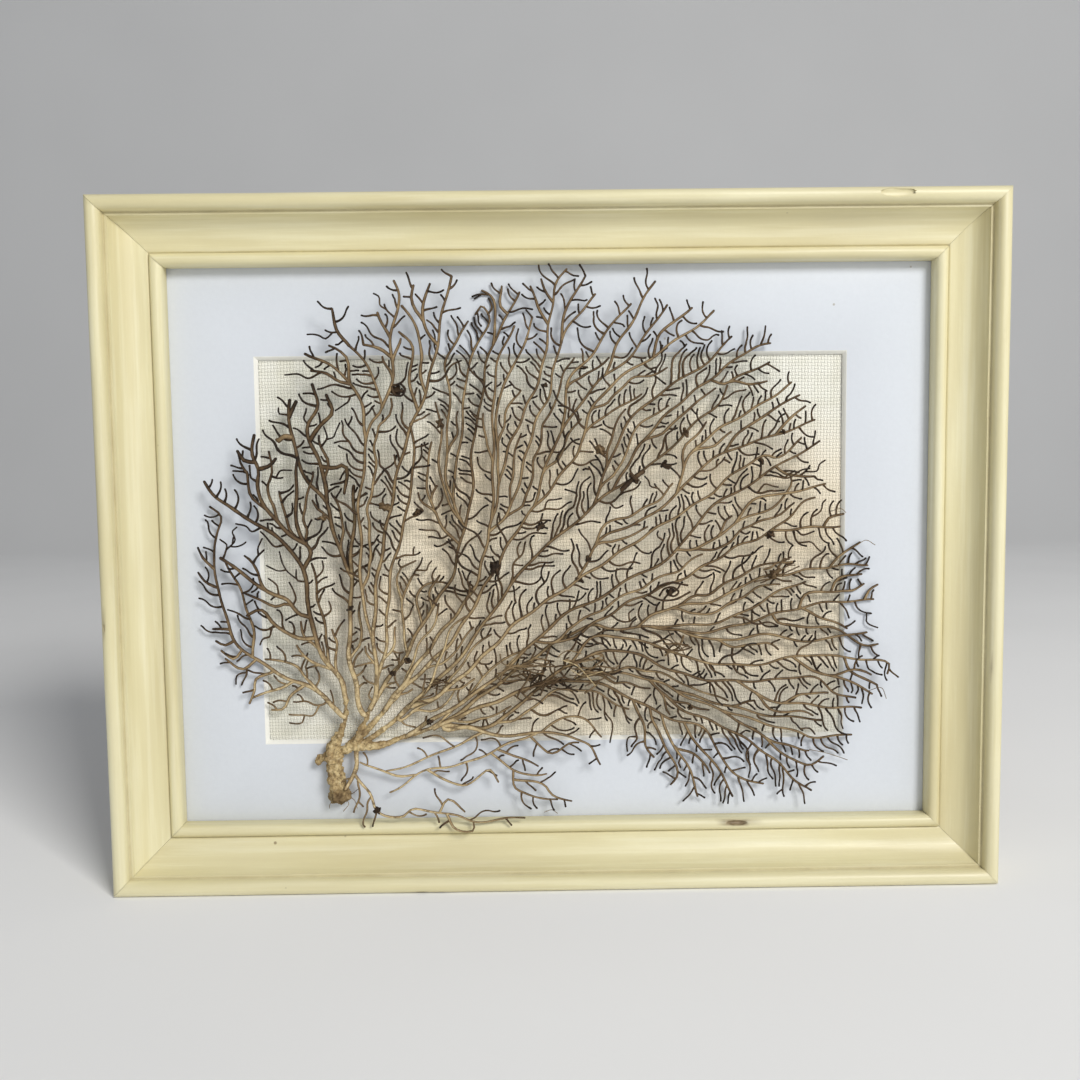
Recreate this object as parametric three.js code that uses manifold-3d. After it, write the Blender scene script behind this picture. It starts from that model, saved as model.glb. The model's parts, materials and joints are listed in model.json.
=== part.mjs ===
// A dried sea fan mounted in a small cream-painted picture frame.
// Millimetres, +Z up, the picture faces -Y. The origin is the middle of the top rail's back face,
// where the frame lies against the wall.

import * as THREE from 'three';
import { mergeVertices } from 'three/addons/utils/BufferGeometryUtils.js';
import Module from 'manifold-3d';

const wasm = await Module();
wasm.setup();
const { Manifold, Mesh: SolidMesh } = wasm;

// ---- driving dimensions ----
const PICTURE_WIDTH = 200;      // size of the boards that drop into the frame
const PICTURE_HEIGHT = 150;
const LIP = 5;                  // how far the moulding covers the boards on each side
const RAIL_WIDTH = 16;
const FRAME_DEPTH = 18;
const LIP_DEPTH = 11;           // from the moulding's front to the face of the window mount
const WINDOW_WIDTH = 146;
const WINDOW_HEIGHT = 96;
const WINDOW_RISE = -1;         // the window sits a little low in the frame
const MITRE_GAP = 0.15;         // half of the hairline gap at each mitre
const BOARD_PLAY = 0.5;         // a board's clearance to the rebate on each side
const CONTACT_GAP = 0.05;       // between pieces that lie on each other
const MOUNT_THICKNESS = 1.1;
const LINEN_THICKNESS = 0.4;
const CARD_THICKNESS = 1.4;
const BACK_THICKNESS = 2.5;
const FORK_GAP = 0.3;           // between the trunk and each bough that was split from it

const SIGHT_WIDTH = PICTURE_WIDTH - 2 * LIP;
const SIGHT_HEIGHT = PICTURE_HEIGHT - 2 * LIP;
const FRAME_WIDTH = SIGHT_WIDTH + 2 * RAIL_WIDTH;
const FRAME_HEIGHT = SIGHT_HEIGHT + 2 * RAIL_WIDTH;
const BACK_LEDGE = RAIL_WIDTH - LIP;
const CENTRE_DROP = FRAME_HEIGHT / 2 - BACK_LEDGE / 2;
const BOARD_WIDTH = PICTURE_WIDTH - 2 * BOARD_PLAY;
const BOARD_HEIGHT = PICTURE_HEIGHT - 2 * BOARD_PLAY;
const MOUNT_FRONT = LIP_DEPTH - FRAME_DEPTH;

// ---- moulding profile ----
const OUTER_BEAD = 1.9;
const INNER_BEAD = 1.6;
const QUIRK_DEPTH = 2.5;
const COVE_START = 4.7;
const COVE_END = 12.3;
const COVE_FLOOR = 7.9;

// ---- fittings on the back ----
const TAB = { width: 8, length: 13, thickness: 0.4 };
const HANGER = { width: 44, height: 11, thickness: 0.8, teeth: 9 };
const RIVET = { head: 2.4, rise: 0.4 };

// ---- layers of the fan ----
const LAYER_STEP = 1.3;
const LOWEST_LAYER = 0.9;
const MAIN_STEM = 0.5;
const SIDE_STEM = 0.36;
const SIDE_RISE = 0.06;         // side stems lie a hair above or below each other
const TRUNK_HEIGHT = 2.7;
const TRUNK_SIDES = 7;
const MAIN_SIDES = 5;
const SIDE_SIDES = 4;
const STEM_STEP = 7.5;

const layer = (n) => LOWEST_LAYER + n * LAYER_STEP;

const paint = (name, color, roughness, metalness = 0) =>
  new THREE.MeshStandardMaterial({ name, color, roughness, metalness });

const MATERIALS = {
  moulding: paint('painted_moulding', 0xe8e1b5, 0.55),
  mount: paint('mount_card', 0xdfe3e8, 0.9),
  linen: paint('linen_cloth', 0xdddbc8, 0.95),
  card: paint('grey_card', 0xa79f8d, 0.95),
  board: paint('hardboard', 0x8a6a48, 0.8),
  steel: paint('zinc_steel', 0xb9bcbf, 0.35, 0.9),
  brass: paint('brass_plate', 0xc2a15a, 0.35, 0.9),
  holdfast: paint('holdfast_crust', 0x9a8562, 0.9),
  stem: paint('fan_stem', 0x6b5438, 0.7),
};

const picture = new THREE.Group();
picture.position.set(0, 0, -CENTRE_DROP);

function add(name, geometry, material, place = {}) {
  const mesh = new THREE.Mesh(geometry, material);
  mesh.name = name;
  mesh.position.set(place.x ?? 0, place.y ?? 0, place.z ?? 0);
  mesh.rotation.set(place.turnX ?? 0, place.turnY ?? 0, place.turnZ ?? 0);
  picture.add(mesh);
  return mesh;
}

// ---- solids and cuts ----
function solid(geometry) {
  const bare = geometry.clone();
  bare.deleteAttribute('normal');
  bare.deleteAttribute('uv');
  const merged = mergeVertices(bare, 1e-4);
  return new Manifold(new SolidMesh({
    numProp: 3,
    vertProperties: new Float32Array(merged.attributes.position.array),
    triVerts: new Uint32Array(merged.index.array),
  }));
}

function geometryOf(shape) {
  const mesh = shape.getMesh();
  const geometry = new THREE.BufferGeometry();
  geometry.setAttribute('position', new THREE.BufferAttribute(mesh.vertProperties, 3));
  geometry.setIndex(new THREE.BufferAttribute(mesh.triVerts, 1));
  return geometry;
}

function slab(width, depth, height, front, rise = 0) {
  return new THREE.BoxGeometry(width, depth, height).translate(0, front + depth / 2, rise);
}

// ---- the frame: four mitred rails of one moulding ----
// In the profile x runs inwards from the frame's outer edge and y runs back from its front.
function mouldingProfile() {
  const profile = new THREE.Shape();
  profile.moveTo(0, FRAME_DEPTH);
  profile.lineTo(0, OUTER_BEAD);
  profile.absarc(OUTER_BEAD, OUTER_BEAD, OUTER_BEAD, Math.PI, 2 * Math.PI, false);
  profile.lineTo(2 * OUTER_BEAD, QUIRK_DEPTH);
  profile.lineTo(COVE_START, QUIRK_DEPTH);
  profile.quadraticCurveTo(COVE_START + 1.2, COVE_FLOOR - 0.5, COVE_END, COVE_FLOOR);
  const beadMiddle = RAIL_WIDTH - INNER_BEAD;
  profile.lineTo(beadMiddle - INNER_BEAD, COVE_FLOOR + 0.1);
  profile.absarc(beadMiddle, COVE_FLOOR + 0.1, INNER_BEAD, Math.PI, 2 * Math.PI, false);
  profile.lineTo(RAIL_WIDTH, LIP_DEPTH);
  profile.lineTo(BACK_LEDGE, LIP_DEPTH);
  profile.lineTo(BACK_LEDGE, FRAME_DEPTH);
  profile.closePath();
  return profile;
}

// A rail runs along its own x, its outer edge at z = 0 and its inner edge at z = -RAIL_WIDTH.
function railGeometry(length) {
  const rail = new THREE.ExtrudeGeometry(mouldingProfile(), {
    depth: length, steps: 1, bevelEnabled: false, curveSegments: 8,
  });
  const place = rail.attributes.position;
  for (let i = 0; i < place.count; i += 1) {
    const inwards = place.getX(i);
    const back = place.getY(i);
    const end = place.getZ(i) > length / 2 ? 1 : -1;
    place.setXYZ(i, end * (length / 2 - inwards - MITRE_GAP), back - FRAME_DEPTH, -inwards);
  }
  rail.computeVertexNormals();
  return rail;
}

function buildFrame() {
  const across = railGeometry(FRAME_WIDTH);
  const upright = railGeometry(FRAME_HEIGHT);
  const top = FRAME_HEIGHT / 2;
  const side = FRAME_WIDTH / 2;
  add('frame_rail_top', across, MATERIALS.moulding, { z: top });
  add('frame_rail_bottom', across.clone(), MATERIALS.moulding, { z: -top, turnY: Math.PI });
  add('frame_rail_left', upright, MATERIALS.moulding, { x: -side, turnY: -Math.PI / 2 });
  add('frame_rail_right', upright.clone(), MATERIALS.moulding, { x: side, turnY: Math.PI / 2 });
}

// ---- the boards in the rebate, from the front to the back ----
function buildBoards() {
  let front = MOUNT_FRONT + CONTACT_GAP;
  const window = slab(WINDOW_WIDTH, 3 * MOUNT_THICKNESS, WINDOW_HEIGHT, front - MOUNT_THICKNESS, WINDOW_RISE);
  const sheet = slab(BOARD_WIDTH, MOUNT_THICKNESS, BOARD_HEIGHT, front);
  add('window_mount', geometryOf(solid(sheet).subtract(solid(window))), MATERIALS.mount);
  front += MOUNT_THICKNESS + CONTACT_GAP;
  add('linen', slab(BOARD_WIDTH, LINEN_THICKNESS, BOARD_HEIGHT, front), MATERIALS.linen);
  front += LINEN_THICKNESS + CONTACT_GAP;
  add('linen_card', slab(BOARD_WIDTH, CARD_THICKNESS, BOARD_HEIGHT, front), MATERIALS.card);
  front += CARD_THICKNESS + CONTACT_GAP;
  add('back_board', slab(BOARD_WIDTH, BACK_THICKNESS, BOARD_HEIGHT, front), MATERIALS.board);
  return front + BACK_THICKNESS;
}

// ---- tabs that hold the boards, and the hanger ----
function buildTabs(back) {
  const reachX = PICTURE_WIDTH / 2 - CONTACT_GAP - TAB.length / 2;
  const reachZ = PICTURE_HEIGHT / 2 - CONTACT_GAP - TAB.length / 2;
  const spots = [];
  for (const side of [-1, 1]) {
    spots.push({ x: side * 55, z: reachZ }, { x: side * 55, z: -reachZ });
    spots.push({ x: reachX * side, z: 38, flat: true }, { x: reachX * side, z: -38, flat: true });
  }
  spots.forEach((spot, i) => {
    const wide = spot.flat ? TAB.length : TAB.width;
    const tall = spot.flat ? TAB.width : TAB.length;
    const tab = slab(wide, TAB.thickness, tall, back + CONTACT_GAP);
    add(`board_tab_${i + 1}`, tab, MATERIALS.steel, { x: spot.x, z: spot.z });
  });
}

function hangerShape() {
  const half = HANGER.width / 2;
  const pitch = (HANGER.width - 16) / HANGER.teeth;
  const shape = new THREE.Shape();
  shape.moveTo(-half, -HANGER.height / 2);
  shape.lineTo(half, -HANGER.height / 2);
  shape.lineTo(half, HANGER.height / 2);
  shape.lineTo(-half, HANGER.height / 2);
  shape.closePath();
  const slot = new THREE.Path();
  slot.moveTo(-half + 8, -2.5);
  slot.lineTo(-half + 8, 1.2);
  for (let tooth = 0; tooth < HANGER.teeth; tooth += 1) {
    slot.lineTo(-half + 8 + (tooth + 0.5) * pitch, 3);
    slot.lineTo(-half + 8 + (tooth + 1) * pitch, 1.2);
  }
  slot.lineTo(half - 8, -2.5);
  slot.closePath();
  shape.holes.push(slot);
  return shape;
}

function buildHanger(back) {
  const plate = new THREE.ExtrudeGeometry(hangerShape(), { depth: HANGER.thickness, bevelEnabled: false });
  plate.rotateX(Math.PI / 2);
  plate.computeBoundingBox();
  plate.translate(0, back + CONTACT_GAP - plate.boundingBox.min.y, 0);
  const rise = PICTURE_HEIGHT / 2 - 24;
  add('hanger_plate', plate, MATERIALS.brass, { z: rise });
  const front = back + 2 * CONTACT_GAP + HANGER.thickness;
  for (const side of [-1, 1]) {
    const rivet = new THREE.CylinderGeometry(RIVET.head, RIVET.head, RIVET.rise, 16);
    rivet.translate(0, front + RIVET.rise / 2, 0);
    const name = side < 0 ? 'hanger_rivet_left' : 'hanger_rivet_right';
    add(name, rivet, MATERIALS.brass, { x: side * (HANGER.width / 2 - 4), z: rise });
  }
}

// ---- the sea fan ----
// Points are [x, z] from the middle of the frame; a stem's first point lies on an earlier stem of its bough.
const TRUNK = [
  { thick: 2.5, points: [[-54.8, -64], [-55.4, -60.5], [-56.2, -56], [-56.6, -51]] },
  { thick: 1.2, points: [[-57, -52], [-59, -53.2], [-60.4, -54.2]] },
  { thick: 1.5, points: [[-56.6, -52.5], [-56, -49.5], [-54.8, -47.6]] },
  { thick: 0.9, points: [[-55, -48], [-53.8, -45], [-53, -42], [-52.8, -38.6]] },
  { thick: 1.2, points: [[-56, -52], [-52, -50.6], [-47.5, -49.9], [-43.6, -49.6]] },
  { thick: 1.0, points: [[-53.4, -51], [-50.8, -48.4], [-49.2, -44.6], [-47.6, -41.8]] },
  { thick: 0.9, points: [[-51, -50.6], [-44.6, -50.7], [-39.8, -49], [-34, -47.4], [-28.6, -45.8]] },
];

const BOUGHS = {
  bough_far_left: {
    height: layer(1),
    stems: [
      [[-53.8, -42.6], [-56, -40], [-58.5, -37.2], [-68, -32.4], [-76.5, -27.2], [-80.8, -22.3], [-82.6, -17],
        [-83.8, -10.5], [-85.4, -4.5], [-84, 4.8], [-83.3, 8.4], [-85.8, 11]],
      [[-76.4, -27.2], [-76, -20], [-78, -12.5], [-79.2, -9], [-82.6, -2]],
      [[-59.6, -36.6], [-63, -32.5], [-65, -29.5], [-73.8, -28]],
      [[-71, -31.2], [-75.5, -33], [-76, -35.5], [-77.6, -38.8]],
      [[-66, -33.8], [-70, -35.5], [-77, -37.6]],
      [[-63.4, -34.8], [-67.5, -37.5], [-69, -40.5], [-72.6, -41.2]],
      [[-84.2, -9.6], [-87.8, -7.6], [-89.6, -5]],
      [[-85.4, -4.4], [-87.6, -2], [-89, 0.8]],
      [[-82, -19.8], [-86, -19.6]],
      [[-80.4, -23], [-83, -24], [-85.6, -22.4]],
      [[-78.6, -25], [-81, -27.6], [-84.6, -25]],
      [[-75.6, -28], [-79, -30.2], [-83.2, -27.6]],
    ],
  },
  bough_left: {
    height: layer(3),
    stems: [
      [[-53, -38], [-54, -33], [-59.3, -24], [-61.2, -13.5], [-62.6, -3.5], [-69, 3.6], [-79.6, 10.6],
        [-83.5, 13.6], [-86, 17.4]],
      [[-60.8, -16.6], [-63.5, -15.8], [-66.5, -12.5], [-70.4, -10.8], [-80, -3.5], [-83, -1.2]],
      [[-62.4, -5], [-60.4, -0.8], [-62.5, 2.8], [-63.6, 9.6], [-63.2, 19.2], [-62.6, 23]],
      [[-61.8, 1.2], [-67.3, 5.8], [-71.6, 11.5], [-73, 16.5], [-72.7, 20], [-73.8, 24], [-73.3, 28.6]],
      [[-73.6, 22], [-76, 22.4], [-77.8, 24.6]],
      [[-72.9, 20], [-70, 21], [-68.2, 22.7]],
      [[-60.6, -22.4], [-65, -22], [-70, -18], [-73, -15], [-76.5, -16]],
    ],
  },
  bough_left_upright: {
    height: layer(2),
    stems: [
      [[-48.6, -42], [-50, -38], [-50.4, -33.5], [-51.6, -26], [-51, -15.4], [-50.6, -3.8], [-49.6, 7.7],
        [-49.4, 16.4]],
      [[-50.9, -7], [-54.2, 2], [-56, 11], [-60.4, 16.5], [-62.7, 22], [-64.6, 28], [-65, 31], [-64.6, 37.2]],
      [[-64.8, 33], [-62.8, 37.4]],
      [[-56, 11.6], [-57, 20], [-60, 27], [-60.2, 31], [-58, 36], [-59, 41.6]],
      [[-60, 27], [-57, 31.5], [-54.4, 34.2], [-55.4, 38.4]],
      [[-57.2, 20.6], [-54, 20.4], [-51.6, 20.8], [-51.6, 14]],
    ],
  },
  bough_upper_left: {
    height: layer(4),
    stems: [
      [[-47, -41], [-44.8, -36], [-45, -24], [-44, -9], [-41.9, 2], [-39.4, 14], [-35.8, 27], [-31.8, 36.4],
        [-29, 45], [-27, 55], [-25.2, 63], [-23.8, 67]],
      [[-45, -24], [-48, -8], [-47.6, 0], [-48, 10], [-46.3, 21], [-44.6, 31], [-41.6, 35], [-44.6, 44],
        [-47.5, 48.5], [-50, 51]],
      [[-45.6, 27], [-46.8, 36], [-49, 41], [-53, 44.5], [-60, 48.5]],
      [[-49, 41], [-52, 41.5], [-55.5, 43.5], [-59.4, 44.4]],
      [[-49, 50.4], [-52.4, 54], [-53.3, 59.6]],
      [[-41.8, 35], [-38.9, 41], [-39.2, 51], [-37.2, 59], [-37, 62.4], [-38.2, 66]],
      [[-39.1, 47], [-41.5, 49], [-46.4, 50.2]],
      [[-39.1, 52], [-41, 55.5], [-42.2, 58.6]],
      [[-32.8, 34], [-34.6, 40], [-34.2, 50], [-37, 53.4]],
      [[-31, 38.6], [-32.4, 43.5], [-31.6, 48], [-32.6, 54], [-36.8, 59.8]],
      [[-28, 50], [-30.8, 54], [-31.2, 58], [-29.2, 65.3]],
    ],
  },
  bough_upright: {
    height: layer(0),
    stems: [
      [[-46.8, -40.6], [-43, -34.6], [-36.4, -28], [-35.4, -23], [-29.6, -13.8], [-25.2, -7.5], [-23.2, 2],
        [-20.2, 13], [-20, 25], [-17.6, 36], [-15.6, 47.5], [-10, 58.8], [-7.5, 63.8]],
      [[-22.4, 5], [-25, 13], [-22.8, 27], [-20.8, 44.2], [-18, 51.2], [-15.2, 57], [-17, 60.2], [-18.7, 58]],
      [[-24.8, 11], [-26.6, 17], [-26.2, 28], [-25.4, 40], [-26.4, 46.5], [-23, 52], [-20.4, 56.2]],
      [[-23.6, 0.5], [-29.6, 7.5], [-30, 13], [-28.6, 18]],
      [[-14.2, 50.4], [-13.6, 56], [-14.6, 62], [-17.4, 64.2]],
      [[-10.6, 58], [-12.4, 60], [-12.2, 64.8]],
    ],
  },
  bough_top: {
    height: layer(2),
    stems: [
      [[-42.6, -47.4], [-38.6, -41], [-33.4, -33.5], [-29.6, -25], [-24, -16.5], [-19.4, -9.4], [-17.2, -1],
        [-14.4, 10], [-11.4, 23], [-6.4, 34.4], [-2.4, 43.6], [-0.7, 53], [1, 63], [2.2, 66], [4.2, 69]],
      [[-15.2, 7], [-14.8, 15], [-14.4, 34.5], [-13.4, 44.8], [-9.2, 54.8]],
      [[-13.2, 16], [-13.8, 27], [-12.7, 38.5], [-8.8, 45.5], [-4.1, 57.2]],
      [[-15.9, 4], [-11, 9], [-7.6, 19], [-4.4, 30], [-0.6, 38], [1.7, 48.6], [5.3, 55.6], [11.6, 62.4]],
      [[2.6, 50.4], [3.2, 56], [5, 61], [8.9, 67.2]],
      [[-0.6, 55], [-2.6, 58.5], [-5, 64.2]],
      [[0.4, 60], [-1.4, 63], [-2, 66]],
    ],
  },
  bough_upper_right: {
    height: layer(3),
    stems: [
      [[-41.6, -46.6], [-37, -42], [-30.4, -33], [-25.4, -23], [-20.4, -12], [-14.6, -3.5], [-8, 5.8],
        [-1.2, 13.8], [5.6, 22.6], [10, 30.4], [18, 35], [22, 37.8]],
      [[-4.4, 10], [-0.6, 23], [5, 32.5], [11, 40.2], [19.4, 46.8], [24, 53], [28.8, 59.8]],
      [[2.6, 28.6], [4.6, 41.5], [10.4, 48], [16.4, 56.5], [20, 60.2]],
      [[13.4, 42.4], [16, 49], [19, 54], [25.4, 64.9]],
      [[7.4, 25.8], [10.4, 35], [15.4, 40.4], [25.8, 47.3], [35, 53.5], [40.2, 57.6]],
      [[24.8, 46.6], [26.4, 51.4], [30, 55], [35, 59]],
    ],
  },
  bough_crest_right: {
    height: layer(1),
    stems: [
      [[-41, -47.8], [-35.6, -43.6], [-26.4, -33.4], [-20, -21.6], [-14.2, -13.4], [-4.6, -1.9], [4.6, 5],
        [12.7, 12.2], [22.4, 18.6], [28, 22.8], [36, 30.6], [41.5, 35], [44.2, 40.2]],
      [[10.4, 10.4], [15.8, 24.6], [21, 33], [29.6, 39.6], [39.2, 45.8], [45, 51.6]],
      [[15, 14], [22.7, 26], [30.8, 34.6], [41, 42.3], [49.6, 48.5], [55.2, 50]],
      [[39.6, 41.4], [43, 40.2], [47, 42], [54.4, 45.3]],
    ],
  },
  bough_diagonal: {
    height: layer(4),
    stems: [
      [[-40, -48.2], [-34.6, -44.4], [-26, -33.4], [-17, -25.4], [-13.6, -21], [-2.7, -14.6], [6.2, -8],
        [15, -2.4], [25, 4.2], [37.7, 12], [46, 18.8], [52.6, 22], [55.4, 21.6], [61.6, 26.2]],
      [[5.4, -8.6], [13, 3], [20.4, 5.6], [29.6, 12], [36.5, 19.2], [44, 23.6], [54, 26.8], [64.8, 30.6]],
      [[30.6, 13.2], [33.4, 21.6], [40, 28], [47.4, 32.4], [53.4, 36], [59.4, 40.2]],
      [[42.6, 23], [45.4, 27], [53, 32.6], [60.9, 36.8]],
      [[55, 27.2], [58.6, 31.4], [62.6, 34]],
    ],
  },
  bough_right: {
    height: layer(2),
    stems: [
      [[-38.4, -47.4], [-30, -41.6], [-17.3, -35.8], [-9.4, -31.6], [-3.6, -23], [2.4, -16.6], [10.8, -13.2],
        [20.4, -7.6], [30, -2.4], [38.8, 8.8], [46.5, 13.5], [55, 18.8], [67.2, 25.8]],
      [[31, -1.2], [36, -1], [45.8, 5.4], [56, 10], [59.9, 15], [59.2, 17.4]],
      [[45.4, 5.2], [50, 10.8], [55.4, 12.5], [63, 13.5], [68.8, 15]],
      [[-4.4, -24.4], [1.9, -24.2], [10.8, -19.2], [20.4, -13.5], [33.8, -7.7], [45.8, -0.8], [54.6, 3.2],
        [62.7, 10.2], [65.6, 11.6]],
      [[54.6, 3.2], [61.5, 3.8], [72, 4.4]],
      [[67.4, 4.3], [69, 6.4], [72.7, 7.6]],
      [[56, 18.9], [58.6, 17.2], [66, 17]],
    ],
  },
  bough_right_middle: {
    height: layer(0),
    stems: [
      [[9, -20.4], [14.2, -21.2], [28, -20.8], [41.5, -20], [51, -15.8], [58.8, -11.6], [64, -9.9]],
      [[21, -21], [27, -17], [42.3, -13.8], [50, -9.6], [60.4, -7.7], [70, -6.2], [80.4, -5.6]],
      [[70, -6.2], [73.5, -2.5], [78, -0.2]],
      [[24, -21], [37.3, -22.5], [47.3, -20.8], [58.8, -17.3], [70, -15.2], [82, -14.8]],
      [[62, -16.6], [63.8, -13.3], [73, -12.3], [76.5, -12.5], [79.6, -10.4]],
      [[70.4, -12.6], [72, -9.6], [78.8, -7.7]],
      [[79, -14.9], [80.4, -12.3], [82.3, -10.8]],
      [[55.6, -18.4], [57.3, -20.6], [70, -21.7], [74.6, -23.7], [79.6, -26.3], [82.7, -26.3]],
      [[32, -21.8], [37.7, -24.2], [45.4, -24.4], [53, -23.3], [65, -25], [74.6, -23.7], [80.4, -22.8]],
      [[62, -16.4], [67, -18.5], [74.6, -22]],
    ],
  },
  bough_right_lower: {
    height: layer(3),
    stems: [
      [[-28.4, -45], [-26, -42.6], [-14.6, -39.2], [-3, -34.8], [6, -28.6], [17, -26.2], [29.6, -31.5],
        [39.2, -34], [54.6, -34.2], [65.4, -33.8], [70.8, -37.7], [76.6, -39.6]],
      [[3.6, -30], [10, -22.8], [23.8, -24.6], [35, -28.8], [49.2, -30.4], [62, -28.2], [75, -29], [84.2, -30.6],
        [84, -33]],
      [[73, -28.9], [74.4, -32], [82, -36.5]],
      [[46, -34], [52.7, -38.8], [66, -40.8], [77.3, -41.7]],
      [[60, -28.6], [64, -31.4], [72, -34], [80.6, -38.2]],
    ],
  },
  bough_lower_right: {
    height: layer(1),
    stems: [
      [[-18.4, -46], [-12.7, -43.5], [-4.6, -36.5], [5.4, -34.2], [14.6, -36.5], [28.5, -44], [38.5, -47.7],
        [45, -58.5], [53.8, -62]],
      [[4, -34.4], [13.5, -32.3], [25.8, -34.8], [34, -39], [47, -43.8], [62.3, -48.5], [66, -49.8], [75.8, -49.2]],
      [[24, -34.6], [31.5, -41.4], [45, -47.7], [54.6, -54.2], [61.5, -60.8], [65.4, -63.8]],
      [[42, -42], [52.7, -49.2], [60, -55], [65, -57.1], [68.9, -54.2]],
      [[31, -37.4], [43.8, -41.2], [54.6, -43.8], [68.6, -45.2]],
      [[20, -39.4], [22.4, -46], [23, -51], [25.8, -54.6]],
      [[24, -41.6], [25.2, -46], [30.6, -56.2], [31, -59.4], [29.6, -61.8]],
      [[27.4, -43.4], [28.4, -48], [33.4, -56], [36.6, -64.6]],
      [[32.6, -45.6], [37.3, -52.7], [42.7, -58.8], [45.3, -65]],
    ],
  },
  bough_low_trailing: {
    height: layer(2),
    stems: [
      [[-28, -46.2], [-22, -45.8], [-12, -48.2], [-2.4, -46.8], [5.5, -49.2], [9, -50.6], [11.3, -55.6]],
      [[-18, -46.6], [-25.4, -50.4], [-35.8, -54.7], [-43, -56.6]],
      [[-4, -47], [-12.7, -50.4], [-25, -55.6], [-32, -56.2], [-38.5, -60.4], [-42.3, -62]],
      [[-16.6, -52.2], [-10.8, -56.7], [-4.6, -58.6], [-1.7, -58]],
      [[-11, -56.8], [-10.6, -61.4], [-7.3, -63], [-2.3, -64.6], [0.4, -65]],
      [[-10.8, -59.2], [-3, -61], [-0.8, -63.3], [4, -65]],
      [[-14.6, -51.4], [-8.5, -53.8], [-4.6, -56.2]],
      [[-6.5, -48.2], [-1.3, -52.5], [3.5, -50], [6.5, -50.2]],
      [[-32.6, -56.4], [-27, -60], [-23, -60.6], [-16.8, -56.4], [-14.8, -59.8]],
      [[-3.5, -47], [1.5, -43.4], [7.7, -44.2], [12.3, -48.8]],
      [[-35.4, -58], [-40.4, -58], [-47.3, -55.4], [-50, -53.8]],
    ],
  },
  bough_lowest_spray: {
    height: layer(4),
    stems: [
      [[-50.6, -52.8], [-50.6, -55.2], [-53.4, -61]],
      [[-51.2, -57], [-47.4, -62], [-45.2, -66.2], [-38.8, -67.9], [-35.8, -65.8], [-25.4, -67.7], [-20.8, -69.2],
        [-8, -68.4]],
      [[-29.4, -66.6], [-27.3, -63.5], [-23, -66.5]],
      [[-27.4, -67], [-25.8, -70.6], [-20.8, -71.4], [-20.6, -69.4]],
    ],
  },
};

function roundSection(radius, sides) {
  const section = new THREE.Shape();
  for (let i = 0; i < sides; i += 1) {
    const turn = (2 * Math.PI * i) / sides;
    const corner = [radius * Math.cos(turn), radius * Math.sin(turn)];
    if (i === 0) section.moveTo(...corner);
    else section.lineTo(...corner);
  }
  section.closePath();
  return section;
}

function stemCurve(points, height) {
  const route = points.map(([x, z]) => new THREE.Vector3(x, MOUNT_FRONT - height, z));
  return new THREE.CatmullRomCurve3(route, false, 'centripetal');
}

function tube(curve, radius, sides, step = STEM_STEP) {
  const steps = Math.max(2, Math.round(curve.getLength() / step));
  return solid(new THREE.ExtrudeGeometry(roundSection(radius, sides), {
    steps, extrudePath: curve, bevelEnabled: false,
  }));
}

function joined(solids) {
  return solids.reduce((whole, piece) => whole.add(piece));
}

// The point on the earlier stems that is nearest to where a side stem sets out.
function nearestPoint(start, curves) {
  let best = start;
  let least = Infinity;
  for (const curve of curves) {
    for (const spot of curve.getSpacedPoints(60)) {
      const away = spot.distanceTo(start);
      if (away < least) {
        least = away;
        best = spot;
      }
    }
  }
  return best;
}

function trunkSolid(extra = 0) {
  return joined(TRUNK.map(({ thick, points }) =>
    tube(stemCurve(points, Math.max(TRUNK_HEIGHT, thick + 0.3)), thick + extra, TRUNK_SIDES, 3)));
}

function boughSolid({ height, stems }) {
  const curves = [];
  const tubes = [];
  stems.forEach((points, i) => {
    const curve = stemCurve(points, height + (i % 3) * SIDE_RISE);
    if (i > 0) curve.points[0].copy(nearestPoint(curve.points[0], curves));
    curves.push(curve);
    tubes.push(i === 0 ? tube(curve, MAIN_STEM, MAIN_SIDES) : tube(curve, SIDE_STEM, SIDE_SIDES));
  });
  return joined(tubes);
}

function largestPart(shape) {
  return shape.decompose().reduce((a, b) => (a.volume() > b.volume() ? a : b));
}

function buildFan() {
  add('holdfast_and_trunk', geometryOf(trunkSolid()), MATERIALS.holdfast);
  const clearOfTrunk = trunkSolid(FORK_GAP);
  for (const [name, bough] of Object.entries(BOUGHS)) {
    const shape = largestPart(boughSolid(bough).subtract(clearOfTrunk));
    add(name, geometryOf(shape), MATERIALS.stem);
  }
}

buildFrame();
const backOfBoards = buildBoards();
buildTabs(backOfBoards);
buildHanger(backOfBoards);
buildFan();

export default picture;
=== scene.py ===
"""A dried sea fan fixed over a white window mount and linen, in a small cream-painted picture frame.

Sizes are in millimetres until a mesh is made. x runs right, z up and y into the wall; the mount's face is at
y = FACE and a stem's height is its distance in front of that face.
"""
import json
import math
import random

import bmesh
import bpy
import numpy as np
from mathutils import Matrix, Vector, noise

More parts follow.
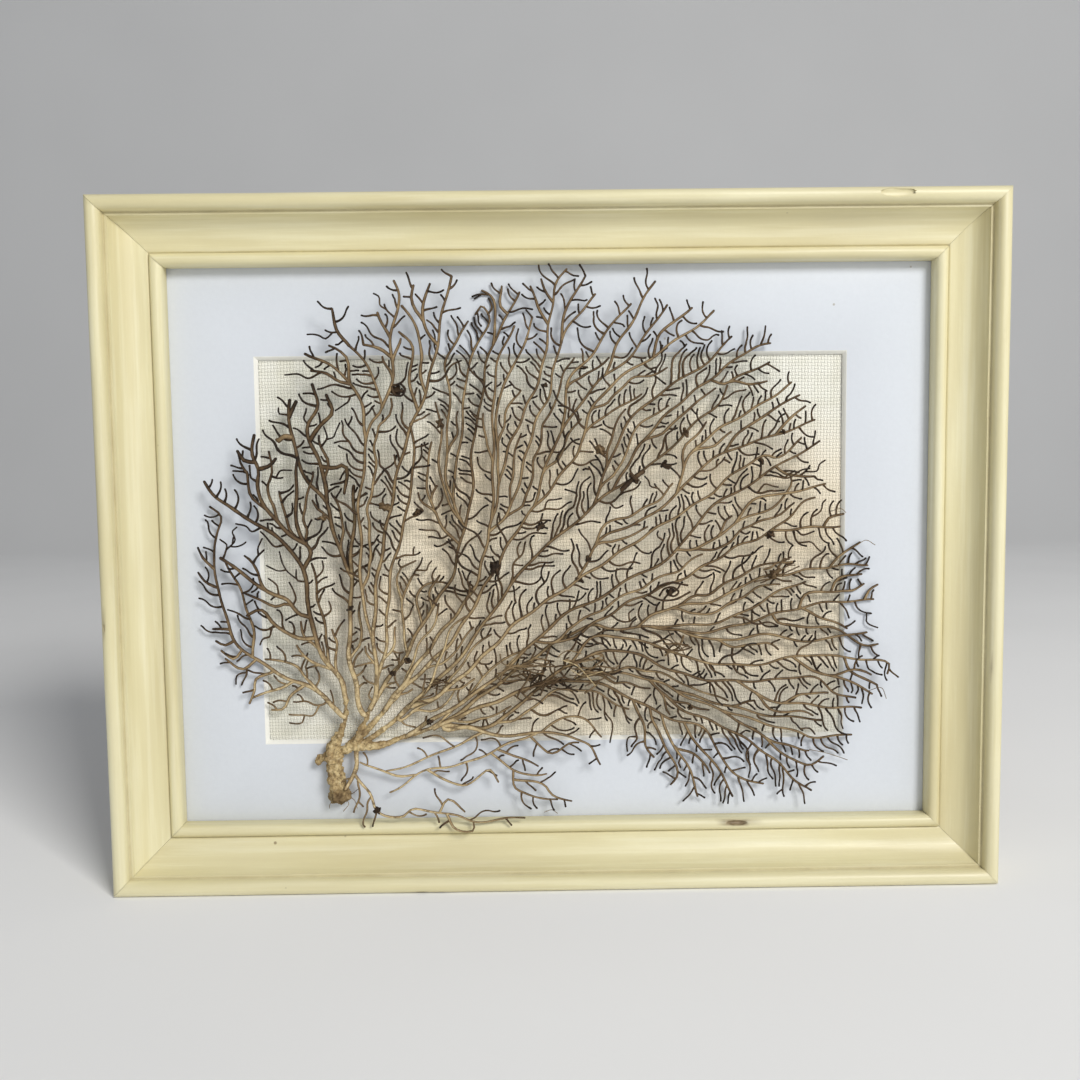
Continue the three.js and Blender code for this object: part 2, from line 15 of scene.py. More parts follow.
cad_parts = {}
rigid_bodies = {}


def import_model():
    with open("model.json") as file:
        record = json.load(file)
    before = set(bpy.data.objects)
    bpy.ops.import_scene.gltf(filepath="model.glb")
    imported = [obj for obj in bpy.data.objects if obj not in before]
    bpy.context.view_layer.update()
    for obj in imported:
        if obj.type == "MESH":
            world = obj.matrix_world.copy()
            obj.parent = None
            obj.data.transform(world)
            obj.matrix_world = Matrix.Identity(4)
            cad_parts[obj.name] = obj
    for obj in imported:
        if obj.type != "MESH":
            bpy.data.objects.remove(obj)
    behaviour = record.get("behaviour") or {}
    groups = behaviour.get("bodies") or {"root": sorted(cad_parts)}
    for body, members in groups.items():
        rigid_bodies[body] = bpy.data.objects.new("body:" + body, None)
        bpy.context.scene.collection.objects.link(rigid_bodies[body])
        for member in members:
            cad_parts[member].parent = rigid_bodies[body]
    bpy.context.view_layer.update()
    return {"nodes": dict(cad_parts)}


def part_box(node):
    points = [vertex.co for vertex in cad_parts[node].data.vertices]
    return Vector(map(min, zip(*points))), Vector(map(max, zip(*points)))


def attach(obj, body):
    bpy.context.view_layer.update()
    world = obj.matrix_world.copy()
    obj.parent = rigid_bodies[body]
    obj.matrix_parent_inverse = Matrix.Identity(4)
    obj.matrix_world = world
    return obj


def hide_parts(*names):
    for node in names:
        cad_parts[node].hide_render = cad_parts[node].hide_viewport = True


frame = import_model()

MM = 0.001
FACE = -7.0             # y of the window mount's face
CENTRE = -80.5          # z of the middle of the picture
DEPTH = 18.0            # depth of the frame
OUTER = (222.0, 172.0)  # the frame, across and up
WINDOW = (146.0, 96.0)  # the solid mount's opening; the slanted cut is 0.4 mm wider on each side
WINDOW_DROP = -1.0      # the opening sits this far below the middle


# ---- camera, light and floor ----
def place_camera():
    """A camera a little above the middle of the picture, close in front of it."""
    lens = bpy.data.cameras.new("camera")
    lens.sensor_width = 36
    lens.lens = 35.7
    lens.clip_start = 0.01
    camera = put_in_scene("camera", lens)
    camera.location = (-5.46 * MM, -277.63 * MM, -58.01 * MM)
    camera.rotation_euler = [math.radians(a) for a in (85.561, 0.676, -0.522)]
    bpy.context.scene.camera = camera


def softbox(name, place, width, power, tint):
    """A square lamp that faces the middle of the picture."""
    lamp = bpy.data.lights.new(name, "AREA")
    lamp.shape = "SQUARE"
    lamp.size = width
    lamp.energy = power
    lamp.color = tint
    holder = put_in_scene(name, lamp)
    holder.location = place
    aim = Vector((0, FACE * MM, CENTRE * MM)) - Vector(place)
    holder.rotation_euler = aim.to_track_quat("-Z", "Y").to_euler()


def light_the_room():
    """A soft lamp above and to the right, a broad one in front for the shadows, and even light all round."""
    softbox("lamp_above_right", (0.66, -1.14, 0.68), 0.45, 15.2, (1.0, 0.985, 0.955))
    softbox("lamp_front", (0.45, -1.3, 0.25), 1.2, 2.1, (1.0, 0.99, 0.97))
    room = bpy.data.worlds.new("room")
    room.use_nodes = True
    sky = room.node_tree.nodes["Background"]
    sky.inputs["Color"].default_value = (0.93, 0.96, 1.0, 1)
    sky.inputs["Strength"].default_value = 0.30
    bpy.context.scene.world = room
    bpy.context.scene.view_settings.view_transform = "Standard"


def put_in_scene(name, data):
    """A new object that carries this mesh, lamp or camera."""
    made = bpy.data.objects.new(name, data)
    bpy.context.scene.collection.objects.link(made)
    return made


def select_only(piece):
    bpy.ops.object.select_all(action="DESELECT")
    piece.select_set(True)
    bpy.context.view_layer.objects.active = piece


def lay_floor():
    """A pale floor under the frame that sweeps up into a pale wall well behind it."""
    level = (CENTRE - OUTER[1] / 2 - 0.2) * MM
    bpy.ops.object.select_all(action="DESELECT")
    bpy.ops.mesh.primitive_plane_add(size=3, location=(0, -0.5, level))
    floor = bpy.context.active_object
    floor.name = "floor"
    bpy.ops.object.mode_set(mode="EDIT")
    bpy.ops.mesh.select_all(action="DESELECT")
    shape = bmesh.from_edit_mesh(floor.data)
    for edge in shape.edges:
        edge.select = all(v.co.y > 1 for v in edge.verts)
    bmesh.update_edit_mesh(floor.data)
    bpy.ops.mesh.extrude_edges_move(TRANSFORM_OT_translate={"value": (0, 0, 2)})
    bpy.ops.mesh.select_all(action="DESELECT")
    shape = bmesh.from_edit_mesh(floor.data)
    for edge in shape.edges:
        edge.select = len(edge.link_faces) == 2
    bmesh.update_edit_mesh(floor.data)
    bpy.ops.mesh.bevel(offset=0.4, segments=12)
    bpy.ops.object.mode_set(mode="OBJECT")
    bpy.ops.object.shade_smooth()
    floor.data.materials.append(floor_paint())


# ---- finishes ----
class Finish:
    """A material built from named nodes. Patterns are laid out in millimetres on Object coordinates."""

    def __init__(self, name, roughness=0.5, metallic=0.0):
        self.material = bpy.data.materials.new(name)
        self.material.use_nodes = True
        self.tree = self.material.node_tree
        self.shader = self.tree.nodes["Principled BSDF"]
        self.shader.inputs["Roughness"].default_value = roughness
        self.shader.inputs["Metallic"].default_value = metallic
        self.here = self.tree.nodes.new("ShaderNodeTexCoord").outputs["Object"]

    def feed(self, socket, value):
        """A link if the value is another node's result, otherwise a plain value or a colour."""
        if isinstance(value, bpy.types.NodeSocket):
            self.tree.links.new(value, socket)
        elif socket.type == "RGBA":
            socket.default_value = (*value, 1)
        else:
            socket.default_value = value

    def node(self, kind, inputs=None, **settings):
        made = self.tree.nodes.new(kind)
        for name, value in settings.items():
            setattr(made, name, value)
        for name, value in (inputs or {}).items():
            self.feed(made.inputs[name], value)
        return made

    def stretched(self, scale=(1, 1, 1), turn=(0, 0, 0), shift=(0, 0, 0)):
        return self.node("ShaderNodeMapping", {"Vector": self.here, "Scale": scale, "Rotation": turn,
                                               "Location": shift}).outputs[0]

    def noise(self, size, detail=3, rough=0.5, at=None, twist=0.0):
        """Clouds whose lumps are about size millimetres wide."""
        return self.node("ShaderNodeTexNoise", {
            "Vector": at or self.here, "Scale": 500.0 / size, "Detail": detail, "Roughness": rough,
            "Distortion": twist}).outputs[0]

    def cells(self, size, at=None):
        return self.node("ShaderNodeTexVoronoi",
                         {"Vector": at or self.here, "Scale": 1000.0 / size}).outputs[0]

    def attribute(self, name):
        return self.node("ShaderNodeAttribute", attribute_name=name).outputs["Fac"]

    def between(self, value, low, high, to_low=0.0, to_high=1.0):
        return self.node("ShaderNodeMapRange", {"Value": value, "From Min": low, "From Max": high,
                                                "To Min": to_low, "To Max": to_high}).outputs[0]

    def math(self, operation, a, b=0.0, c=0.0):
        made = self.node("ShaderNodeMath", operation=operation)
        for socket, value in zip(made.inputs, (a, b, c)):
            self.feed(socket, value)
        return made.outputs[0]

    def mix(self, share, first, second, way="MIX"):
        made = self.node("ShaderNodeMix", data_type="RGBA", blend_type=way)
        for place, value in ((0, share), (6, first), (7, second)):
            self.feed(made.inputs[place], value)
        return made.outputs[2]

    def ramp(self, value, *stops):
        made = self.node("ShaderNodeValToRGB", {0: value})
        points = made.color_ramp.elements
        while len(points) < len(stops):
            points.new(0.5)
        for point, (place, colour) in zip(points, stops):
            point.position = place
            point.color = (*colour, 1)
        return made.outputs[0]

    def bump(self, height, millimetres, strength=1.0, under=None):
        made = self.node("ShaderNodeBump", {"Height": height, "Distance": millimetres * MM,
                                            "Strength": strength})
        if under is not None:
            self.tree.links.new(under, made.inputs["Normal"])
        return made.outputs[0]

    def wear(self, **sockets):
        """Joins each named result to the shader's socket of that name."""
        for name, value in sockets.items():
            self.tree.links.new(value, self.shader.inputs[name.replace("_", " ")])
        return self.material


def floor_paint():
    paint = Finish("floor_paint", 0.8)
    tone = paint.ramp(paint.noise(90, 2), (0.3, (0.80, 0.80, 0.80)), (0.7, (0.83, 0.83, 0.83)))
    return paint.wear(Base_Color=tone)


def cream_paint(name, along):
    """Satin cream paint over wood. The brush marks and the grain under them run along x or along z."""
    paint = Finish(name, 0.42)
    paint.shader.inputs["Coat Weight"].default_value = 0.12
    paint.shader.inputs["Coat Roughness"].default_value = 0.3
    drawn = (0.035, 1, 1) if along == "x" else (1, 1, 0.035)
    slow = (0.15, 1, 1) if along == "x" else (1, 1, 0.15)
    streak = paint.noise(1.1, 5, 0.62, paint.stretched(drawn))
    band = paint.noise(7, 3, 0.5, paint.stretched(slow))
    cloud = paint.noise(26, 3, 0.55)
    tone = paint.ramp(band, (0.3, (0.66, 0.59, 0.345)), (0.52, (0.76, 0.70, 0.435)),
                      (0.72, (0.82, 0.77, 0.52)))
    tone = paint.mix(paint.between(streak, 0.42, 0.72, 0.0, 0.42), tone, (0.62, 0.545, 0.30))
    tone = paint.mix(paint.between(streak, 0.5, 0.28, 0.0, 0.4), tone, (0.90, 0.865, 0.66))
    tone = paint.mix(paint.between(cloud, 0.48, 0.75, 0.0, 0.35), tone, (0.66, 0.60, 0.40))
    # Painted shade: the two narrow grooves and the underside of the lip are darkened, patchily.
    groove = paint.attribute("groove")
    painted_groove_shade = paint.math("MULTIPLY", groove, paint.between(paint.noise(3.5, 4, 0.6), 0.3, 0.7, 0.35, 1.0))
    tone = paint.mix(paint.math("MULTIPLY", painted_groove_shade, 0.5), tone, (0.36, 0.29, 0.155))
    spot = paint.cells(9, paint.stretched((1, 1, 1), shift=(0.013, 0.004, 0.021)))
    speck = paint.math("MULTIPLY", paint.between(spot, 0.055, 0.03),
                       paint.between(paint.noise(21, 2), 0.56, 0.6))
    tone = paint.mix(paint.math("MULTIPLY", speck, 0.75), tone, (0.20, 0.14, 0.07))
    tone = paint.mix(paint.attribute("chipped"), tone, paint.ramp(
        paint.noise(1.2, 4, 0.6), (0.35, (0.10, 0.065, 0.03)), (0.7, (0.34, 0.25, 0.14))))
    relief = paint.math("ADD", paint.math("MULTIPLY", streak, 0.7),
                        paint.math("MULTIPLY", paint.noise(0.9, 2), 0.35))
    rough = paint.between(streak, 0.3, 0.7, 0.34, 0.55)
    return paint.wear(Base_Color=tone, Roughness=rough, Normal=paint.bump(relief, 0.16, 0.75))


def mount_card(name, colour, shade):
    """Card with a faint tooth; the cut bevel shows its whiter core."""
    card = Finish(name, 0.88)
    card.shader.inputs["Specular IOR Level"].default_value = 0.25
    cloud = card.noise(38, 3, 0.55)
    tooth = card.noise(0.55, 4, 0.65)
    tone = card.mix(card.between(cloud, 0.35, 0.7), colour, shade)
    tone = card.mix(card.between(tooth, 0.35, 0.75, 0.0, 0.16), tone, tuple(0.82 * c for c in colour))
    spot = card.cells(13, card.stretched(shift=(0.031, 0, 0.017)))
    speck = card.math("MULTIPLY", card.between(spot, 0.03, 0.016),
                      card.between(card.noise(30, 1), 0.53, 0.56))
    tone = card.mix(card.math("MULTIPLY", speck, 0.6), tone, (0.30, 0.25, 0.17))
    return card.wear(Base_Color=tone, Normal=card.bump(tooth, 0.06, 0.5))


def linen_weave():
    """Plain-woven linen: warp and weft 0.8 mm apart that pass over and under, with thick and thin threads."""
    cloth = Finish("linen_weave", 0.93)
    cloth.shader.inputs["Sheen Weight"].default_value = 0.12
    cloth.shader.inputs["Specular IOR Level"].default_value = 0.2
    wander = cloth.node("ShaderNodeTexNoise", {"Vector": cloth.here, "Scale": 60.0, "Detail": 2.0}).outputs[1]
    shift = cloth.node("ShaderNodeVectorMath", {0: wander, 1: (0.5, 0.5, 0.5)},
                       operation="SUBTRACT").outputs[0]
    small = cloth.node("ShaderNodeVectorMath", {0: shift, "Scale": 0.0011}, operation="SCALE").outputs[0]
    place = cloth.node("ShaderNodeVectorMath", {0: cloth.here, 1: small}, operation="ADD").outputs[0]
    across = cloth.node("ShaderNodeSeparateXYZ", {0: place})
    turn = math.pi / (0.8 * MM)
    warp = cloth.math("SINE", cloth.math("MULTIPLY", across.outputs["X"], turn))
    weft = cloth.math("SINE", cloth.math("MULTIPLY", across.outputs["Z"], turn))
    over = cloth.math("MULTIPLY", warp, weft)
    thread_x = cloth.math("ABSOLUTE", warp)
    thread_z = cloth.math("ABSOLUTE", weft)
    up = cloth.between(over, -0.35, 0.35)
    relief = cloth.math("ADD", cloth.math("MULTIPLY", thread_x, up),
                        cloth.math("MULTIPLY", thread_z, cloth.math("SUBTRACT", 1.0, up)))
    fibre = cloth.noise(0.25, 3, 0.6)
    slub = cloth.math("ADD", cloth.noise(2.2, 2, 0.5, cloth.stretched((0.12, 1, 1))),
                      cloth.noise(2.2, 2, 0.5, cloth.stretched((1, 1, 0.12))))
    tone = cloth.ramp(cloth.math("MULTIPLY", slub, 0.5), (0.38, (0.82, 0.805, 0.69)),
                      (0.62, (0.94, 0.93, 0.845)))
    # Painted shade: the hollows between the threads are darker.
    tone = cloth.mix(cloth.between(relief, 0.6, 0.12, 0.0, 0.34), tone, (0.56, 0.53, 0.42))
    tone = cloth.mix(cloth.between(cloth.noise(45, 3), 0.5, 0.75, 0.0, 0.35), tone, (0.70, 0.66, 0.52))
    # The linen is made warmer and a little darker round the middle of the fan, patchily.
    off_middle = cloth.node("ShaderNodeVectorMath",
                            {0: cloth.stretched((0.62, 1, 1)), 1: (0.009, 0, (CENTRE - 8) * MM)},
                            operation="DISTANCE")
    warm_middle = cloth.between(off_middle.outputs["Value"], 0.056, 0.034)
    warm_middle = cloth.math("MULTIPLY", warm_middle, cloth.between(cloth.noise(18, 3), 0.25, 0.6, 0.45, 0.9))
    tone = cloth.mix(warm_middle, tone, (0.92, 0.775, 0.56))
    height = cloth.math("ADD", relief, cloth.math("MULTIPLY", fibre, 0.35))
    return cloth.wear(Base_Color=tone, Normal=cloth.bump(height, 0.28, 0.9))


def grey_card():
    card = Finish("grey_card", 0.95)
    flock = card.noise(0.7, 4, 0.7)
    tone = card.ramp(flock, (0.35, (0.30, 0.27, 0.21)), (0.65, (0.43, 0.395, 0.32)))
    return card.wear(Base_Color=tone, Normal=card.bump(flock, 0.06, 0.5))


def hardboard():
    """Brown pressed board: short fibres lying every way, and the fine grid that the press screen leaves."""
    board = Finish("hardboard", 0.72)
    fibre = board.noise(1.3, 6, 0.72, board.stretched((0.5, 1, 1.6), turn=(0, 0.5, 0)))
    cloud = board.noise(40, 4, 0.55)
    tone = board.ramp(fibre, (0.32, (0.115, 0.062, 0.030)), (0.5, (0.225, 0.130, 0.066)),
                      (0.70, (0.34, 0.215, 0.12)))
    tone = board.mix(board.between(cloud, 0.4, 0.72, 0.0, 0.5), tone, (0.16, 0.092, 0.048))
    place = board.node("ShaderNodeSeparateXYZ", {0: board.here})
    turn = 2 * math.pi / (1.5 * MM)
    screen = board.math("MULTIPLY", board.math("SINE", board.math("MULTIPLY", place.outputs["X"], turn)),
                        board.math("SINE", board.math("MULTIPLY", place.outputs["Z"], turn)))
    relief = board.math("ADD", fibre, board.math("MULTIPLY", screen, 0.3))
    return board.wear(Base_Color=tone, Normal=board.bump(relief, 0.10, 0.6))


def plated(name, bright, dull, tarnish, roughness):
    """Thin plated metal with rolling marks, handling smears and spots of tarnish."""
    metal = Finish(name, roughness, 1.0)
    rolled = metal.noise(0.6, 4, 0.6, metal.stretched((0.04, 1, 1)))
    smear = metal.noise(5, 4, 0.6)
    tone = metal.mix(metal.between(smear, 0.35, 0.7), bright, dull)
    tone = metal.mix(metal.between(metal.noise(1.6, 5, 0.7), 0.58, 0.72, 0.0, 0.8), tone, tarnish)
    rough = metal.between(metal.math("ADD", rolled, smear), 0.8, 1.25, roughness - 0.08, roughness + 0.22)
    return metal.wear(Base_Color=tone, Roughness=rough, Normal=metal.bump(rolled, 0.02, 0.5))


def holdfast_crust():
    """Golden, granular crust with dark pits and pale chalky grains, darker at its foot."""
    crust = Finish("holdfast_crust", 0.85)
    crust.shader.inputs["Specular IOR Level"].default_value = 0.3
    lump = crust.noise(2.6, 5, 0.65)
    grain = crust.noise(0.5, 5, 0.7)
    tone = crust.ramp(lump, (0.30, (0.115, 0.07, 0.03)), (0.45, (0.42, 0.30, 0.145)),
                      (0.58, (0.66, 0.52, 0.275)),
                      (0.72, (0.86, 0.75, 0.50)))
    tone = crust.mix(crust.between(grain, 0.52, 0.36, 0.0, 0.75), tone, (0.13, 0.08, 0.035))
    tone = crust.mix(crust.between(grain, 0.56, 0.72, 0.0, 0.75), tone, (0.72, 0.62, 0.42))
    tone = crust.mix(crust.attribute("tone"), tone, crust.ramp(
        grain, (0.35, (0.055, 0.035, 0.018)), (0.65, (0.17, 0.11, 0.055))))
    pits = crust.cells(0.8)
    relief = crust.math("ADD", grain, crust.math("MULTIPLY", pits, 0.6))
    return crust.wear(Base_Color=tone, Normal=crust.bump(relief, 0.35, 0.8))


def fan_stem():
    """Dried horny stem: tan where it is old, brown in the middle and nearly black at the tips and knots."""
    stem = Finish("fan_stem", 0.6)
    stem.shader.inputs["Specular IOR Level"].default_value = 0.22
    # The tone attribute holds each stem's own tone plus painted shade along its sides and a painted highlight
    # along its front.
    age = stem.attribute("tone")
    mottle = stem.noise(2.4, 4, 0.6)
    fine = stem.noise(0.45, 4, 0.65)
    shade = stem.math("ADD", age, stem.between(mottle, 0.3, 0.7, -0.2, 0.2))
    shade = stem.math("ADD", shade, stem.between(fine, 0.3, 0.7, -0.12, 0.12))
    tone = stem.ramp(shade, (0.0, (0.56, 0.435, 0.24)), (0.22, (0.33, 0.235, 0.122)),
                     (0.5, (0.150, 0.098, 0.049)),
                     (0.75, (0.078, 0.046, 0.022)), (1.0, (0.020, 0.012, 0.007)))
    old = stem.between(age, 0.40, 0.12)
    blotch = stem.math("MULTIPLY", stem.between(stem.noise(1.3, 4, 0.7), 0.50, 0.40), old)
    tone = stem.mix(stem.math("MULTIPLY", blotch, 0.75), tone, (0.115, 0.072, 0.034))
    fleck = stem.math("MULTIPLY", stem.between(fine, 0.53, 0.62), old)
    tone = stem.mix(stem.math("MULTIPLY", fleck, 0.7), tone, (0.76, 0.63, 0.38))
    rough = stem.between(fine, 0.3, 0.7, 0.5, 0.75)
    return stem.wear(Base_Color=tone, Roughness=rough, Normal=stem.bump(fine, 0.12, 0.6))


# ---- shaping helpers ----
def settle(piece):
    """The piece's turn and place go into its mesh."""
    select_only(piece)
    bpy.ops.object.transform_apply(location=True, rotation=True, scale=True)


def apply_modifier(piece, kind, **settings):
    select_only(piece)
    modifier = piece.modifiers.new(kind.lower(), kind)
    for name, value in settings.items():
        setattr(modifier, name, value)
    bpy.ops.object.modifier_apply(modifier=modifier.name)


def finish_piece(piece, slot, *nodes):
    """The piece rides with the picture and stands for its solids."""
    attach(piece, "root")
    if nodes:
        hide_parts(*nodes)
    return piece


def soften(piece, width, segments=3, angle=35):
    """Rounds the sharp edges of a piece by a small bevel and shades the rest smooth."""
    apply_modifier(piece, "BEVEL", width=width * MM, segments=segments, limit_method="ANGLE",
                   angle_limit=math.radians(angle))
    select_only(piece)
    bpy.ops.object.shade_smooth_by_angle(angle=math.radians(angle))


def put_attribute(piece, name, values):
    layer = piece.data.attributes.new(name, "FLOAT", "POINT")
    layer.data.foreach_set("value", np.asarray(values, np.float32))


def corners_of(piece):
    spots = np.zeros(len(piece.data.vertices) * 3)
    piece.data.vertices.foreach_get("co", spots)
    return spots.reshape(-1, 3) / MM


def eased_copy(node, width, segments=2):
    """A copy of a CAD node with its doubles merged, its flat faces made whole and its edges rounded."""
    copy = put_in_scene(node + "_eased", frame["nodes"][node].data.copy())
    copy.data.materials.clear()
    select_only(copy)
    bpy.ops.object.mode_set(mode="EDIT")
    bpy.ops.mesh.select_all(action="SELECT")
    bpy.ops.mesh.remove_doubles(threshold=0.00001)
    bpy.ops.mesh.dissolve_limited(angle_limit=0.02)
    bpy.ops.object.mode_set(mode="OBJECT")
    soften(copy, width, segments)
    return copy


def box_between(name, low, high):
    """A block between two corners, in millimetres."""
    bpy.ops.object.select_all(action="DESELECT")
    middle = [(a + b) / 2 * MM for a, b in zip(low, high)]
    bpy.ops.mesh.primitive_cube_add(size=1, location=middle)
    block = bpy.context.active_object
    block.name = name
    block.scale = [(b - a) * MM for a, b in zip(low, high)]
    settle(block)
    return block


# ---- the frame ----
def arc(middle, radius, start, end, steps):
    turns = np.linspace(math.radians(start), math.radians(end), steps)
    return [(middle[0] + radius * math.cos(t), middle[1] + radius * math.sin(t)) for t in turns]


def moulding_outline():
    """The moulding's section: inwards from the outer edge, and back from the front."""
    outline = [(0.3, DEPTH), (0.0, DEPTH - 0.3), (0.0, 9.0), (0.0, 3.4)]
    outline += arc((1.9, 1.9), 1.9, 180, 352, 15)
    outline += [(3.86, 2.35), (4.05, 2.62), (4.35, 2.52), (4.7, 2.55)]
    for t in np.linspace(0.06, 1, 16):
        inwards = (1 - t) ** 2 * 4.7 + 2 * t * (1 - t) * 5.9 + t * t * 12.2
        back = (1 - t) ** 2 * 2.5 + 2 * t * (1 - t) * 7.4 + t * t * 7.85
        outline.append((inwards, back))
    outline += [(12.5, 7.93), (12.68, 8.16), (12.86, 8.2)]
    outline += arc((14.4, 8.0), 1.55, 190, 352, 14)
    outline += [(16.0, 8.3), (16.0, 10.75), (15.75, 11.0), (11.0, 11.0), (11.0, DEPTH)]
    return outline


def painted_shade_share(inwards, back):
    """How much painted shade lies at a place on the moulding: most in the two narrow grooves and under the
    lip.
    """
    share = 0.0
    for spot, reach in (((4.05, 2.6), 0.5), ((12.68, 8.35), 0.5), ((16.0, 9.8), 1.0)):
        share = max(share, math.exp(-((inwards - spot[0]) ** 2 + (back - spot[1]) ** 2) / reach ** 2))
    return share


def knock_chip(rail, along, inwards, back, size):
    """A shallow dent with a torn edge, knocked into the rail's paint and wood."""
    bpy.ops.object.select_all(action="DESELECT")
    bpy.ops.mesh.primitive_ico_sphere_add(subdivisions=3, radius=1)
    bite = bpy.context.active_object
    bite.scale = [s * MM for s in size]
    bite.location = (along * MM, (back - DEPTH) * MM, -inwards * MM)
    settle(bite)
    rough = random.Random(int(along * 10))
    for corner in bite.data.vertices:
        middle = Vector(bite.data.vertices[0].co)
        corner.co += (corner.co - middle) * rough.uniform(-0.06, 0.06)
    apply_modifier(rail, "BOOLEAN", object=bite, operation="DIFFERENCE", solver="EXACT")
    bpy.data.objects.remove(bite)


def make_rail(name, length, turn, place, paint, chips=()):
    """Draws the section at one mitre, pulls it out to the other and turns the rail into its place.

    Each chip is (along, inwards, back, (half length, half depth, half height), how bare its wood is).
    """
    outline = moulding_outline()
    half = length / 2 - 0.04
    section = [(-(half - inwards) * MM, (back - DEPTH) * MM, -inwards * MM) for inwards, back in outline]
    mesh = bpy.data.meshes.new(name)
    mesh.from_pydata(section, [], [tuple(range(len(section)))])
    rail = put_in_scene(name, mesh)
    select_only(rail)
    bpy.ops.object.mode_set(mode="EDIT")
    bpy.ops.mesh.select_all(action="SELECT")
    bpy.ops.mesh.extrude_region_move(TRANSFORM_OT_translate={"value": (length * MM, 0, 0)})
    shape = bmesh.from_edit_mesh(mesh)
    for corner in shape.verts:
        if corner.select:
            corner.co.x = (half * MM + corner.co.z)
    for edge in shape.edges:
        edge.select = abs(edge.verts[0].co.x - edge.verts[1].co.x) > 0.1
    bmesh.update_edit_mesh(mesh)
    bpy.ops.mesh.subdivide(number_cuts=round(length / 5))
    bpy.ops.mesh.select_all(action="SELECT")
    bpy.ops.mesh.normals_make_consistent(inside=False)
    bpy.ops.object.mode_set(mode="OBJECT")
    sway = random.Random(len(name) + round(place[0] + place[1]))
    phases = [sway.uniform(0, 6.3) for _ in range(4)]
    for corner in mesh.vertices:
        along, back = corner.co.x / MM, corner.co.y / MM + DEPTH
        wave = math.sin(along / 9 + phases[0]) + math.sin(along / 4.3 + phases[1] + corner.co.z * 900)
        if back < 10.5:
            corner.co.y += 0.022 * wave * MM
            corner.co.z += 0.018 * math.sin(along / 13 + phases[2] + back) * MM
        corner.co.y = max(corner.co.y, -DEPTH * MM)
        corner.co.z = min(corner.co.z, 0.0)
    for *spot, _ in chips:
        knock_chip(rail, *spot)
    spots = corners_of(rail)
    # The groove attribute is where painted shade darkens the grooves and the underside of the lip.
    put_attribute(rail, "groove", [painted_shade_share(-z, y + DEPTH) for _, y, z in spots])
    torn = [max([0.0] + [bare * math.exp(-(((x - a) / (1.15 * s[0])) ** 6 + ((-z - i) / (1.25 * s[2])) ** 6))
                         for a, i, _, s, bare in chips]) for x, _, z in spots]
    put_attribute(rail, "chipped", torn)
    rail.data.materials.append(paint)
    select_only(rail)
    bpy.ops.object.shade_smooth_by_angle(angle=math.radians(38))
    rail.rotation_euler = (0, turn, 0)
    rail.location = (place[0] * MM, 0, (CENTRE + place[1]) * MM)
    settle(rail)
    return rail


def build_frame():
    across = cream_paint("cream_paint_across", "x")
    upright = cream_paint("cream_paint_upright", "z")
    wide, high = OUTER
    rails = (
        ("frame_rail_top", wide, 0, (0, high / 2), across, [(83, 1.7, 0.35, (5.4, 0.55, 1.1), 0.0)]),
        ("frame_rail_bottom", wide, math.pi, (0, -high / 2), across,
         [(-46, 14.9, 6.5, (2.7, 0.75, 0.62), 1.0), (34, 0.5, 0.9, (1.6, 0.35, 0.4), 0.7),
          (29, 0.4, 1.1, (0.9, 0.3, 0.4), 0.6)]),
        ("frame_rail_left", high, -math.pi / 2, (-wide / 2, 0), upright,
         [(-18, 1.0, 0.35, (1.1, 0.3, 0.35), 0.6)]),
        ("frame_rail_right", high, math.pi / 2, (wide / 2, 0), upright,
         [(31, 3.2, 0.9, (0.6, 0.25, 0.22), 0.5)]),
    )
    for node, length, turn, place, paint, chips in rails:
        rail = make_rail(node.replace("frame_rail", "moulding"), length, turn, place, paint, chips)
        finish_piece(rail, "moulding_paint", node)


# ---- the boards, the linen and the fittings behind ----
def build_window_mount():
    """A card with a window cut on the slant, so that its white core shows all round the opening."""
    low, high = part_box("window_mount")
    sheet = box_between("window_card", [v / MM for v in low], [v / MM for v in high])
    back, front = high.y / MM, low.y / MM
    middle = CENTRE + WINDOW_DROP
    wide, tall = WINDOW[0] / 2, WINDOW[1] / 2
    cutter = box_between("window_cutter", (-wide, front - 1, middle - tall), (wide, back + 1, middle + tall))
    slant, past = 1.15, 0.2     # how far the cutter leans out, and how far it stands past both faces
    for corner in cutter.data.vertices:
        at_front = corner.co.y < (front + back) / 2 * MM
        reach = ((slant if at_front else 0.0) + past * slant / (back - front)) * MM
        corner.co.x += math.copysign(reach, corner.co.x)
        corner.co.z += math.copysign(reach, corner.co.z - middle * MM)
        corner.co.y = (front - past if at_front else back + past) * MM
    apply_modifier(sheet, "BOOLEAN", object=cutter, operation="DIFFERENCE", solver="EXACT")
    bpy.data.objects.remove(cutter)
    soften(sheet, 0.06, 2, 25)
    sheet.data.materials.append(mount_card("mount_face", (0.70, 0.735, 0.79), (0.67, 0.705, 0.755)))
    sheet.data.materials.append(mount_card("mount_core", (0.90, 0.895, 0.84), (0.85, 0.84, 0.78)))
    for face in sheet.data.polygons:
        leaning = 0.3 < -face.normal.y < 0.97
        inside = abs(face.center.x) < (wide + 2) * MM and abs(face.center.z - middle * MM) < (tall + 2) * MM
        face.material_index = 1 if leaning and inside else 0
    finish_piece(sheet, "mount_card", "window_mount")


